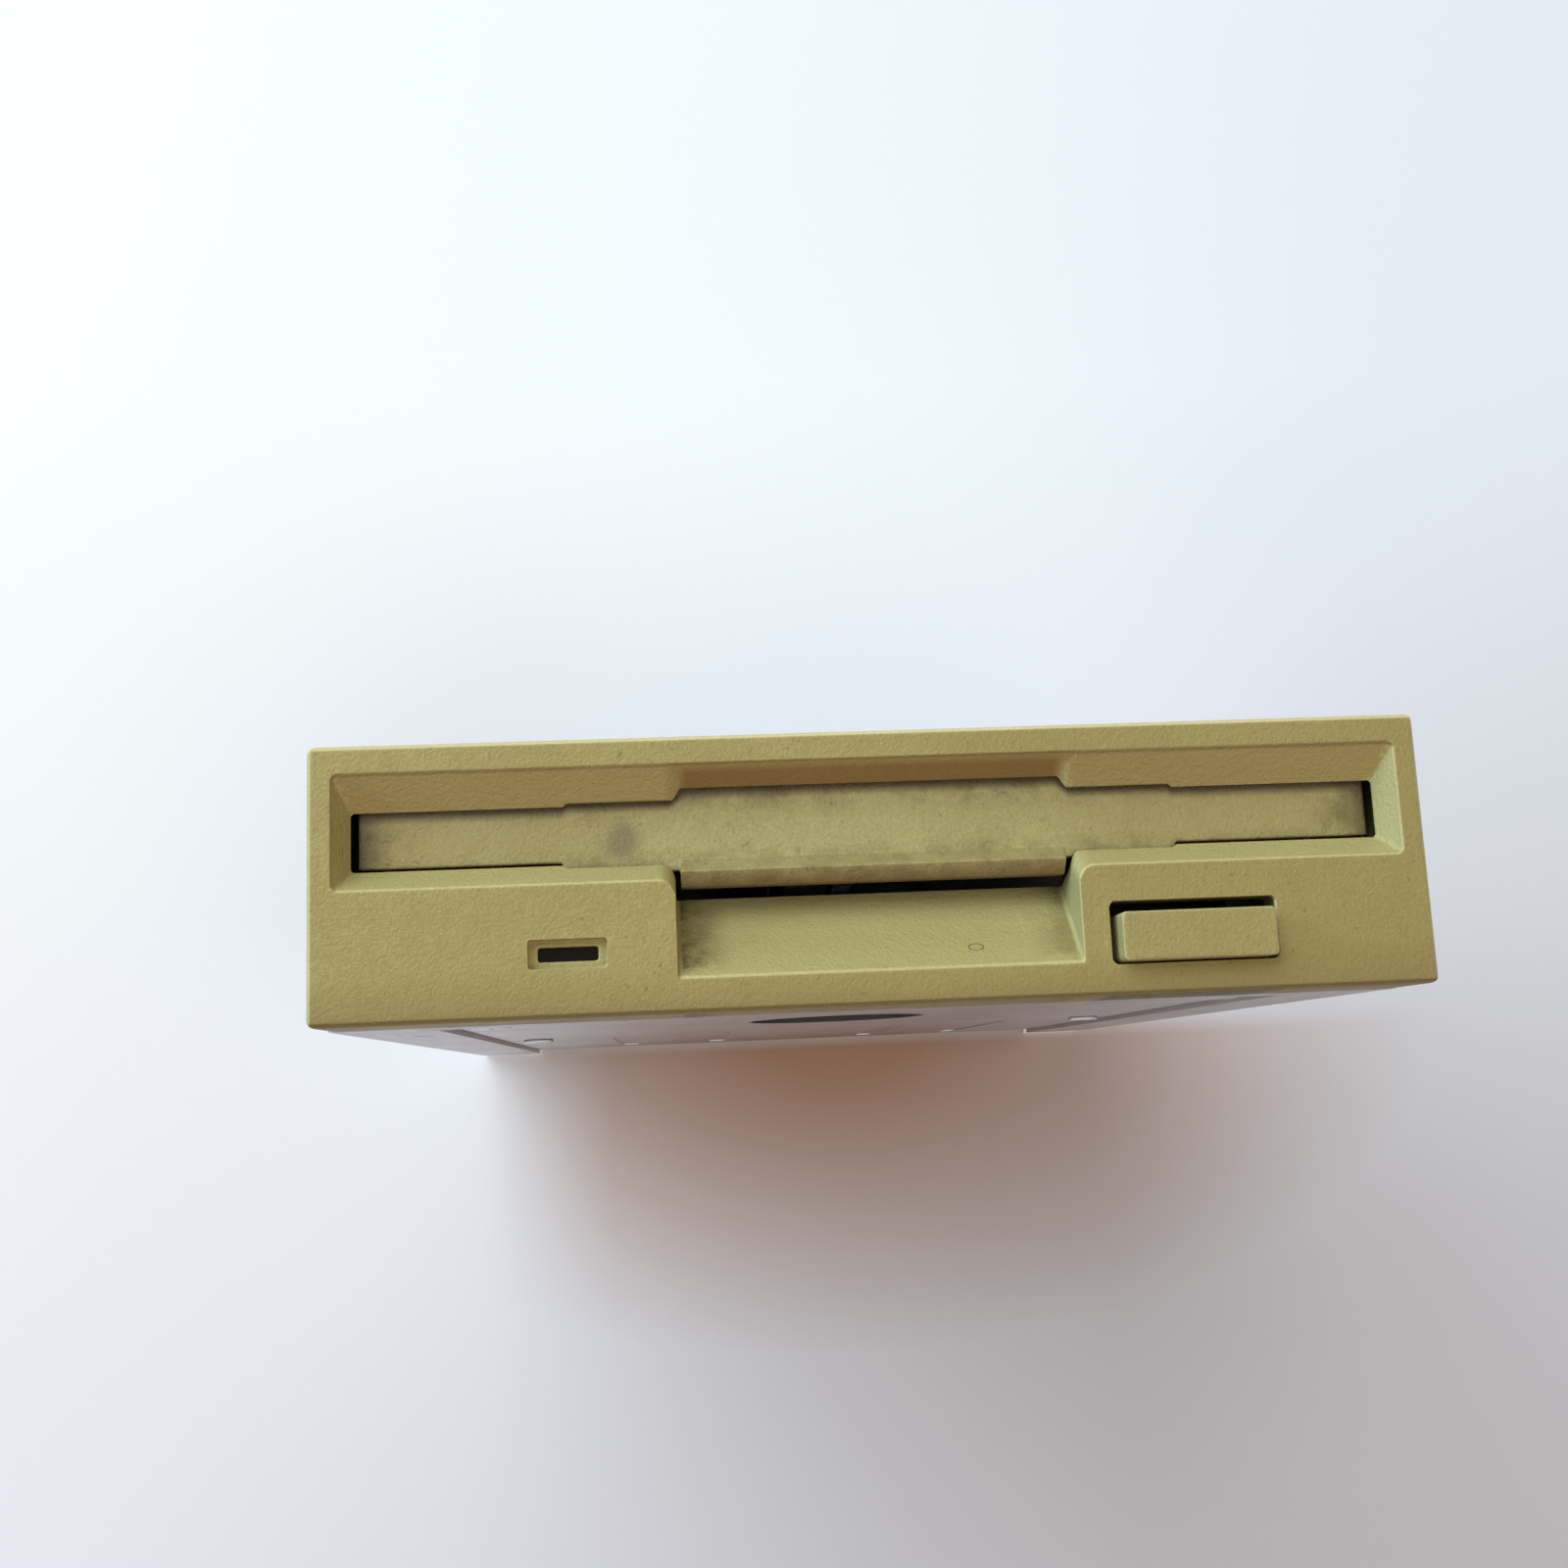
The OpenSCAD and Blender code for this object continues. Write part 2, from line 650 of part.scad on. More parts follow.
module spindle_hub() color(steel) placed() difference() {
    union() {
        post(hub_r, 0, spindle_y, hub_high - 1.9, hub_high);
        post(5, 0, spindle_y, hub_low, hub_high - 1);
    }
    post(shaft_r + seat, 0, spindle_y, hub_low - cut, hub_high + cut);
    translate([0, spindle_y, hub_high - 1]) difference() {
        cylinder(r = 8.5, h = 3);
        cylinder(r = 4, h = 3);
    }
    post(drive_pin_r + seat, drive_pin_at, spindle_y, hub_low - cut, hub_high + cut);
}

module chuck_magnet() color(magnet_grey) placed() difference() {
    post(8.5 - seat, 0, spindle_y, hub_high - 1, hub_high - 0.15);
    post(4 + seat, 0, spindle_y, hub_high - 2, hub_high + cut);
}

module drive_pin() color(steel) placed()
    post(drive_pin_r, drive_pin_at, spindle_y, hub_high - 1.9, hub_high + 1);

// Heads
module guide_rods() color(steel) placed() both_sides()
    rod_along_y(rod_r, rod_front, rod_back, rod_x, rod_z);

module head_carriage() color(dark_plastic) placed() difference() {
    union() {
        block(-carriage_half, carriage_half, carriage_front, carriage_back, carriage_low, carriage_high);
        block(-9, 9, tower_front, carriage_back, carriage_high - 0.5, tower_high);
        both_sides() block(6, 9, pivot_y - 3, carriage_back, carriage_low, pivot_z + 2);
        block(screw_x + 2.5, -7, follower_y - 1.3, follower_y + 1.3, screw_z - 1, screw_z + 1);
        block(carriage_half - 1, sensor_x + 3.5, sensor_y - 2, sensor_y + 2, rod_z - 0.2, rod_z + 0.6);
    }
    both_sides() rod_along_y(rod_r + run, carriage_front - cut, carriage_back + cut, rod_x, rod_z);
    block(-8, 8, head_y + head_len / 2 + 2, tower_front - 1.5, carriage_low - cut, carriage_high + cut);
    rod_along_x(pivot_r + seat, -half_w, half_w, pivot_y, pivot_z);
    rod_along_x(follower_r + seat, screw_x, screw_x + 5, follower_y, screw_z);
}

module head_block(z0, z1)
    block(-head_w / 2, head_w / 2, head_y - head_len / 2, head_y + head_len / 2, z0, z1);

module lower_head() color(white_plastic) placed() head_block(carriage_high, medium_z - 0.05);

module arm_pivot() color(steel) placed() rod_along_x(pivot_r, -9.2, 9.2, pivot_y, pivot_z);

module follower_pin() color(steel) placed()
    rod_along_x(follower_r, screw_x + screw_r + clear, screw_x + 5, follower_y, screw_z);

module lifted() translate([0, pivot_y, pivot_z]) rotate([-head_lift, 0, 0])
    translate([0, -pivot_y, -pivot_z]) children();

module upper_arm() color(zinc) placed() lifted() difference() {
    union() {
        block(-4.5, 4.5, head_y - head_len / 2, pivot_y, arm_low_z, arm_low_z + arm_t);
        rod_along_x(1.5, -5.6, 5.6, pivot_y, pivot_z);
    }
    rod_along_x(pivot_r + run, -half_w, half_w, pivot_y, pivot_z);
    block(-2.2, 2.2, head_y + 8, pivot_y - 5, arm_low_z - cut, arm_low_z + arm_t + cut);
}

module upper_head() color(white_plastic) placed() lifted() head_block(medium_z + 0.05, arm_low_z);

module lead_screw() color(steel) placed() {
    rod_along_y(journal_r, bracket_front - 0.2, bracket_back + 0.4, screw_x, screw_z);
    rod_along_y(screw_r, bracket_back + 0.3, can_front - 1, screw_x, screw_z);
    rod_along_y(journal_r, can_front - 1.1, can_front + 3, screw_x, screw_z);
}

module screw_bracket() color(zinc) placed() difference() {
    block(screw_x - 3, screw_x + 3, bracket_front, bracket_back, deck_high, screw_z + 3);
    rod_along_y(journal_r + run, bracket_front - cut, bracket_back + cut, screw_x, screw_z);
}

module stepper_motor() color(zinc) placed() difference() {
    union() {
        rod_along_y(can_r, can_front, can_back, screw_x, screw_z);
        block(screw_x - 9.5, screw_x + 9.5, can_front - 0.2, can_front + 0.8, deck_high, screw_z + 5);
    }
    rod_along_y(journal_r + run, can_front - cut, can_front + 3.2, screw_x, screw_z);
}

module track_sensor() color(dark_plastic) placed() difference() {
    block(sensor_x, sensor_x + 6, sensor_y - 3, sensor_y + 3, deck_high, rod_z + 4);
    block(sensor_x - cut, sensor_x + 4.5, sensor_y - 4, sensor_y + 4, rod_z - 0.6, rod_z + 1);
}

// Ribbons
module head_ribbon() color(ribbon_tan) placed() along_x(-5, 5) polygon([[carriage_back, rod_z - 0.6],
    [ribbon_y - 0.15, rod_z - 0.6], [ribbon_y - 0.15, main_high + 2], [ribbon_y + 0.15, main_high + 2],
    [ribbon_y + 0.15, rod_z - 0.3], [carriage_back, rod_z - 0.3]]);

module motor_ribbon() color(ribbon_tan) placed() along_x(18, 28) polygon([[motor_back - 3, board_low - 0.3],
    [motor_back + 1, board_low - 0.3], [main_front + 0.5, main_high], [main_front + 3, main_high],
    [main_front + 3, main_high + 0.3], [main_front + 0.7, main_high + 0.3], [motor_back + 1.2, board_low],
    [motor_back - 3, board_low]]);

// Switches
module switch_block() color(dark_plastic) placed() for (x = switch_x) difference() {
    block(x - switch_half, x + switch_half, switch_y - switch_half, switch_y + switch_half,
        deck_high, switch_high);
    post(plunger_r + run, x, switch_y, plunger_low - plunger_travel - 0.2, switch_high + cut);
}

module plunger(x) color(white_plastic) placed() post(plunger_r, x, switch_y, plunger_low, plunger_high);

module protect_plunger() plunger(switch_x[0]);

module density_plunger() plunger(switch_x[1]);

module disk_plunger() plunger(switch_x[2]);

// Lamp
module activity_lamp() color(lamp_dark) placed() {
    along_y(lamp_recess_depth + 0.15, face_t + 1) translate([lamp_x, lamp_z])
        square([lamp_w - 0.1, lamp_h - 0.1], center = true);
    along_y(face_t, face_t + 4) translate([lamp_x, lamp_z])
        square([lamp_w + 0.6, lamp_h + 1], center = true);
    for (s = [-1, 1])
        rod_along_y(0.25, face_t + 3.5, motor_front + 2, lamp_x + s * 1.27, board_low - 0.25);
}

// Frame, cover and shield
module frame_walls() both_sides() {
    block(rail_in, half_w, bezel_depth, overall_d, 0, rail_h);
    block(flange_in, half_w, bezel_depth, overall_d, 0, flange_t);
    along_x(wall_in, wall_out) difference() {
        translate([bezel_depth, rail_h - 0.1])
            square([overall_d - skirt_t - 0.2 - bezel_depth, wall_high - rail_h + 0.1]);
        for (y = holder_pin_y)
            stadium(holder_pin_r + clear, [y, holder_pin_z - disk_drop - 0.1], [y, holder_pin_z + 0.1]);
    }
    for (y = cover_screw_y)
        block(cover_screw_x - 3.5, wall_out, y - 4, y + 4, wall_high - tab_t, wall_high);
    for (y = [mount_front, mount_front + mount_pitch]) {
        post(3.2, mount_across / 2, y, 0, mount_z);
        rod_along_x(3, rail_in - 1.8, half_w, y, mount_z);
    }
}

module frame_deck() {
    block(-rail_in, rail_in, deck_front, deck_back, deck_low, deck_high);
    block(-half_w, half_w, bezel_depth, sill_back, 0, flange_t);
    both_sides() {
        for (y = [rod_front, rod_back - 2])
            block(rod_x - 2.5, rod_x + 2.5, y, y + 2, deck_low, disk_low - 0.3);
        for (y = shield_screw_y) post(2.4, shield_screw_x, y, shield_high, deck_high);
        for (y = main_screw_y) post(2.4, main_screw_x, y, main_high, deck_high);
        for (y = motor_screw_y) post(2.4, motor_screw_x, y, board_high, deck_high);
        post(0.8, coil_x, coil_front - 0.8, deck_low, coil_z + coil_r);
    }
}

module frame_holes() {
    both_sides() {
        along_x(rail_in - cut, half_w + cut)
            stadium(1.7, [mount_front + 22, deck_low - 2.2], [mount_front + 48, deck_low - 2.2]);
        for (y = [mount_front, mount_front + mount_pitch]) {
            post(mount_d / 2, mount_across / 2, y, -cut, mount_z - 0.4);
            rod_along_x(mount_d / 2, rail_in - 1.2, half_w + cut, y, mount_z);
        }
        for (y = cover_screw_y)
            post(1 + seat, cover_screw_x, y, wall_high - tab_t - cut, wall_high + cut);
        for (y = shield_screw_y) post(1 + seat, shield_screw_x, y, 0, deck_low - 0.4);
        for (y = main_screw_y) post(1 + seat, main_screw_x, y, 0, deck_low - 0.2);
        for (y = motor_screw_y) post(1 + seat, motor_screw_x, y, 0, deck_high + cut);
        rod_along_y(rod_r + seat, rod_front - cut, rod_back + cut, rod_x, rod_z);
        clip_block(0.2, clip_y0, clip_y1, -cut, flange_t + cut);
    }
    post(bearing_r + seat, 0, spindle_y, deck_low - cut, deck_high + cut);
    block(button_x - button_w / 2 - 1.5, button_x + arm_w / 2 + 1.5, deck_front - cut, deck_front + 7,
        deck_low - cut, deck_high + cut);
    block(-6.5, 6.5, ribbon_y - 1, ribbon_y + 1, deck_low - cut, deck_high + cut);
    block(-half_w + 1.3, -half_w + 7.4, spindle_y + 14, spindle_y + 15.6, -cut, flange_t + cut);
}

module main_frame() color(zinc) placed() difference() {
    union() {
        frame_walls();
        frame_deck();
    }
    frame_holes();
}

module top_cover() color(zinc) placed() difference() {
    union() {
        difference() {
            block(-half_w, half_w, bezel_depth, overall_d, cover_low, overall_h);
            both_sides() for (y = cover_screw_y)
                post(3.2, cover_screw_x, y, cover_low - cut, overall_h + cut);
            along_z(overall_h - 0.3, overall_h + cut) {
                translate([0, (panel_front + panel_back) / 2])
                    rounded_rect(2 * panel_half, panel_back - panel_front, 6);
                stadium(1.5, [6 - panel_half, panel_front - 5], [panel_half - 6, panel_front - 5]);
                both_sides()
                    stadium(1.5, [panel_half + 6, panel_front + 8], [panel_half + 6, panel_back - 8]);
            }
        }
        both_sides() {
            block(half_w - skirt_t, half_w, bezel_depth, overall_d, rail_h + 0.1, overall_h);
            for (y = cover_screw_y) post(3.9, cover_screw_x, y, wall_high, overall_h - dimple_deep);
        }
        block(-half_w, half_w, overall_d - skirt_t, overall_d, data_z + 6, overall_h);
    }
    both_sides() {
        for (y = cover_screw_y) post(1.2, cover_screw_x, y, wall_high - cut, overall_h + cut);
        clip_block(0.2, clip_y0, clip_y1, cover_low - cut, overall_h + cut);
        for (y = holder_pin_y) along_x(wall_out + 0.05, half_w + cut)
            stadium(1.6, [y + 12, rail_h + 4], [y + 26, rail_h + 4]);
    }
}

module bottom_shield() color(zinc) placed() difference() {
    block(-flange_in + 0.2, flange_in - 0.2, sill_back + 0.2, overall_d - 4, shield_low, shield_high);
    post(window_d / 2, 0, spindle_y, 0, shield_high + cut);
    both_sides() {
        post(1.5, 24.4, spindle_y - 17, 0, shield_high + cut);
        for (y = shield_screw_y) post(1.2, shield_screw_x, y, 0, shield_high + cut);
    }
    block(-flange_in + 0.5, 6.1 - flange_in, spindle_y + 37.5, spindle_y + 39, 0, shield_high + cut);
    along_z(0, shield_low + 0.2) both_sides() {
        stadium(1.4, [12, shield_screw_y[1] + 6], [12, overall_d - 14]);
        stadium(1.4, [26, shield_screw_y[1] + 6], [26, overall_d - 14]);
        stadium(1.4, [16, shield_screw_y[0] - 1], [30, shield_screw_y[0] - 1]);
    }
}

// Screws
module screw(head_r, x, y, head_z, neck_z, tip_z) {
    post(head_r, x, y, min(head_z, neck_z), max(head_z, neck_z));
    post(1, x, y, min(neck_z, tip_z), max(neck_z, tip_z));
}

module cover_screws() color(steel) placed() for (x = [-cover_screw_x, cover_screw_x], y = cover_screw_y)
    screw(2.1, x, y, overall_h - 0.05, overall_h - dimple_deep, wall_high - tab_t - 0.2);

module shield_screws() color(steel) placed() for (x = [-shield_screw_x, shield_screw_x], y = shield_screw_y)
    screw(2, x, y, 0.1, shield_low, deck_low - 0.8);

module board_screws() color(steel) placed() for (s = [-1, 1]) {
    for (y = main_screw_y) screw(2, s * main_screw_x, y, main_low - 0.6, main_low, deck_low - 0.6);
    for (y = motor_screw_y) screw(2, s * motor_screw_x, y, board_low - 0.6, board_low, deck_high);
}

// Main board and connectors
module main_board() color(board_green) placed() difference() {
    block(-main_half, main_half, main_front, main_back, main_low, main_high);
    for (x = [-main_screw_x, main_screw_x], y = main_screw_y)
        post(1.2, x, y, main_low - cut, main_high + cut);
}

module controller_chips() color(dark_plastic) placed() {
    block(-24, -10, main_front + 12, main_front + 26, main_high, main_high + 1.8);
    block(9, 21, main_front + 14, main_front + 24, main_high, main_high + 1.6);
}

module ribbon_socket() color(white_plastic) placed() difference() {
    block(-7, 7, ribbon_y - 1.8, ribbon_y + 1.8, main_high, main_high + 3);
    block(-5.2, 5.2, ribbon_y - 0.25, ribbon_y + 0.25, main_high + 1.9, main_high + 4);
}

module data_header() color(dark_plastic) placed() difference() {
    block(data_x - data_half, data_x + data_half, data_front, data_back, main_high, data_z + 4.4);
    block(data_x - data_half + 2.4, data_x + data_half - 2.4, data_front + 2.5, data_back + cut,
        data_z - 3.1, data_z + 3.1);
    block(data_x - 2.25, data_x + 2.25, data_front + 2.5, data_back + cut, data_z, data_z + 5);
    for (i = [0:data_ways - 1], s = [-1, 1]) {
        x = data_x + (i - (data_ways - 1) / 2) * pin_pitch;
        z = data_z + s * pin_pitch / 2;
        block(x - pin_half, x + pin_half, data_front - cut, data_front + 4, z - pin_half, z + pin_half);
    }
}

module data_pins() color(gold) placed() for (i = [0:data_ways - 1], s = [-1, 1]) {
    x = data_x + (i - (data_ways - 1) / 2) * pin_pitch;
    z = data_z + s * pin_pitch / 2;
    tail = data_front - 1.5 - (s + 1) * pin_pitch / 2;
    block(x - pin_half, x + pin_half, tail - pin_half, data_back - 1.6, z - pin_half, z + pin_half);
    block(x - pin_half, x + pin_half, tail - pin_half, tail + pin_half, main_high, z + pin_half);
}

module power_header() color(white_plastic) placed() difference() {
    block(power_x - power_half, power_x + power_half, power_front, data_back, main_high, power_z + 3.2);
    block(power_x - power_half + 1, power_x + power_half - 1, power_front + 2.2, data_back + cut,
        power_z - 2.2, power_z + 5);
    for (i = [0:3])
        rod_along_y(0.5, power_front - cut, power_front + 4, power_x + (i - 1.5) * power_pitch, power_z);
}

module power_pins() color(gold) placed() for (i = [0:3]) {
    x = power_x + (i - 1.5) * power_pitch;
    rod_along_y(0.5, power_front - 1.5, data_back - 1.6, x, power_z);
    post(0.5, x, power_front - 1.2, main_high, power_z);
}

front_bezel();
slot_door();
door_spring();
eject_button();
activity_lamp();
main_frame();
top_cover();
bottom_shield();
cover_screws();
shield_screws();
board_screws();
slide_plate();
slide_guides();
slide_springs();
disk_holder();
lever_pivot();
shutter_lever();
motor_board();
stator_coils();
spindle_bearing();
rotor_plate();
ring_magnet();
spindle_shaft();
spindle_hub();
chuck_magnet();
drive_pin();
guide_rods();
head_carriage();
lower_head();
arm_pivot();
follower_pin();
upper_arm();
upper_head();
lead_screw();
screw_bracket();
stepper_motor();
track_sensor();
head_ribbon();
motor_ribbon();
switch_block();
protect_plunger();
density_plunger();
disk_plunger();
main_board();
controller_chips();
ribbon_socket();
data_header();
data_pins();
power_header();
power_pins();
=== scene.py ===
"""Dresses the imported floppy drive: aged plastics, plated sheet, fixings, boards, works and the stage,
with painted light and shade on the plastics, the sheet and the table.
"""

import math

import bpy
from mathutils import Euler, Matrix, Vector


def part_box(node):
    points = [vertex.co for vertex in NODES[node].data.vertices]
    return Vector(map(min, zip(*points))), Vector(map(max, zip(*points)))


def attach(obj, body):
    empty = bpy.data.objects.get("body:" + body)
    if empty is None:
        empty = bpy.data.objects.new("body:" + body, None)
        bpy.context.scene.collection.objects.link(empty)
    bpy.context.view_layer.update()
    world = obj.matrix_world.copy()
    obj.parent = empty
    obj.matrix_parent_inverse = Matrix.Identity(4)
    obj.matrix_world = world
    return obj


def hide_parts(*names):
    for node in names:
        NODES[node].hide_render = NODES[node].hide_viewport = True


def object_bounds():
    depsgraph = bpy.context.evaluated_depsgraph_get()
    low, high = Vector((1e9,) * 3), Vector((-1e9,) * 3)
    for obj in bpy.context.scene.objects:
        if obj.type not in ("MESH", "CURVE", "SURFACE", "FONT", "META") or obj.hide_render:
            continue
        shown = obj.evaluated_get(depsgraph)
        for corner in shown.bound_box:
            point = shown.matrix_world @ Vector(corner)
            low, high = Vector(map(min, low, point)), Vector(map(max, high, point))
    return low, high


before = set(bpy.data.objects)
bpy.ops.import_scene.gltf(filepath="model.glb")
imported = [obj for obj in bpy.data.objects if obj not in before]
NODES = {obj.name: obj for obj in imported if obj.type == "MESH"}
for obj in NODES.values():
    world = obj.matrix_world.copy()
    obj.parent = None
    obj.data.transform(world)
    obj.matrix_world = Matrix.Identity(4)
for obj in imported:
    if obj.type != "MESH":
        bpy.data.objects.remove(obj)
CAD_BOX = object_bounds()
MM = 0.001

# Places on the front that the paint follows
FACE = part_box("front_bezel")[0].y
MARK = (8.78 * MM, FACE + 2.0 * MM, 5.01 * MM)
MARK_SHAPE = (1, 1, 1.8)
SMUDGE = (-23.1 * MM, FACE + 3.6 * MM, 16.1 * MM)
ROOF_OUTER = 19.15 * MM
ROOF_INNER = 19.57 * MM
ROOF_NOTCH = 20.55 * MM
ROOF_FRONT = 22.3 * MM
STEP_PLACE = 28 * MM
NOTCH_HALF = 17.4 * MM
SCOOP_HALF = 18 * MM
SCOOP_TOP = 11.5 * MM
DOOR_END = 46.8 * MM
DOOR_HIGH = 20.2 * MM
DOOR_LOW = 14.2 * MM
LIP_LOW = 11.5 * MM
WINDOW_EDGE = 10.15 * MM

# Ways that a surface can face, by which painted light and shade are laid
TO_WINDOW = (-0.4, 0, 0.9)
LEFTWARD = (-1, 0, 0)
RIGHTWARD = (1, 0, 0)
DOWNWARD = (0.3, 0, -0.95)
UNDERNEATH = (0, 0, -1)
RIM_UPWARD = (-0.5, 0, 0.86)
LIP_TOP = (0, -0.64, 0.77)

# Stretch of the rolling marks on sheet metal
ROLLED_DEEP = (1, 0.06, 1)
ROLLED_ACROSS = (0.06, 1, 1)
ROLLED_COVER = (1, 0.05, 1)

# Limits used when meshes are cleaned, rounded and shaded
MERGE_REACH = 0.002 * MM
FLAT_ANGLE = math.radians(0.4)
SMOOTH_ANGLE = math.radians(40)
SHEET_ANGLE = math.radians(28)
HEAD_ANGLE = math.radians(40)
SCREW_TURN = math.radians(37)

# Lamps: name, place, width, and whether shiny surfaces mirror the lamp
LAMPS = (
    ("window", (-0.75, -1.15, 1.05), 1.7, True),
    ("left", (-1.5, -0.5, 0.35), 0.8, True),
    ("front", (0.3, -2.0, -0.5), 1.2, False),
    ("top", (0.1, 0.1, 1.1), 0.8, True),
    ("right", (1.3, 0.3, 0.35), 0.8, True),
    ("rear", (0.3, 1.0, 0.6), 0.8, True),
)
WHITE = (1, 1, 1)

# Table behind and below the drive
BACKDROP_SIZE = 3
BACKDROP_GAP = 0.3 * MM
FLOOR_SIZE = 1.1
FLOOR_GAP = 0.5 * MM
MIRROR_REACH = 3 * MM
# Middle and stretch of the painted shadow on the table below the drive
CAST_PLACE = (10 * MM, 0, 0)
CAST_SHAPE = (0.5, 0, 1)
SENSOR_WIDTH = 36
NEAR_LIMIT = 5 * MM

bl_info = {
    "name": "Floppy drive dressing",
    "version": (1, 0, 0),
    "blender": (4, 5, 0),
    "location": "View3D > Sidebar > Drive",
    "description": "Gives a packed internal floppy drive its finished surfaces and its stage",
    "category": "Object",
}


def paint(red, green, blue):
    """A colour from eight-bit screen values, as linear light."""
    linear = []
    for part in (red, green, blue):
        share = part / 255
        linear.append(share / 12.92 if share <= 0.04045 else ((share + 0.055) / 1.055) ** 2.4)
    return tuple(linear)


def scaled(colour, by):
    """A colour made darker or lighter by one factor."""
    return tuple(part * by for part in colour)


def length(label, about, default):
    """A length property in metres."""
    return bpy.props.FloatProperty(
        name=label, description=about, default=default, unit="LENGTH", precision=5
    )


def shade(label, about, default):
    """A colour property."""
    return bpy.props.FloatVectorProperty(
        name=label, description=about, default=default, subtype="COLOR", min=0, max=1
    )


def power(label, about, default):
    """A lamp's power property in watts."""
    return bpy.props.FloatProperty(
        name=label, description=about, default=default, subtype="POWER", unit="POWER"
    )


def portion(label, about, default):
    """A property from nothing to one."""
    return bpy.props.FloatProperty(name=label, description=about, default=default, min=0, max=1)


def count(label, about, default):
    """A whole-number property."""
    return bpy.props.IntProperty(name=label, description=about, default=default, min=0)


class DriveSizes(bpy.types.PropertyGroup):
    """Roundings and small forms that the dressing adds."""

    bezel_mesh: length("Bezel mesh", "Fineness of the mesh that softens the bezel's edges", 0.14 * MM)
    door_mesh: length("Door mesh", "Fineness of the mesh that softens the door's edges", 0.13 * MM)
    button_mesh: length("Button mesh", "Fineness of the mesh that softens the button's edges", 0.11 * MM)
    front_passes: count("Front passes", "Easing passes over the bezel and the door", 1)
    button_passes: count("Button passes", "Easing passes over the button", 8)
    front_kept: portion("Front faces", "Share of the bezel's and the door's faces that is kept", 0.1)
    button_kept: portion("Button faces", "Share of the button's faces that is kept", 0.12)
    sheet_round: length("Sheet edges", "Rounding of bent and cut sheet edges", 0.12 * MM)
    moulding_round: length("Moulding edges", "Rounding of small plastic mouldings", 0.15 * MM)
    head_round: length("Screw heads", "Rounding of the screw heads", 0.22 * MM)
    cover_head: length("Cover screws", "Radius of the cover screws' heads", 2.1 * MM)
    shield_head: length("Shield screws", "Radius of the shield screws' heads", 2.0 * MM)
    recess_arm: length("Recess reach", "Reach of each arm of a screw's cross recess", 1.15 * MM)
    recess_half: length("Recess half width", "Half the width of a cross recess's arms", 0.26 * MM)
    recess_deep: length("Recess depth", "Depth of a screw's cross recess", 0.35 * MM)


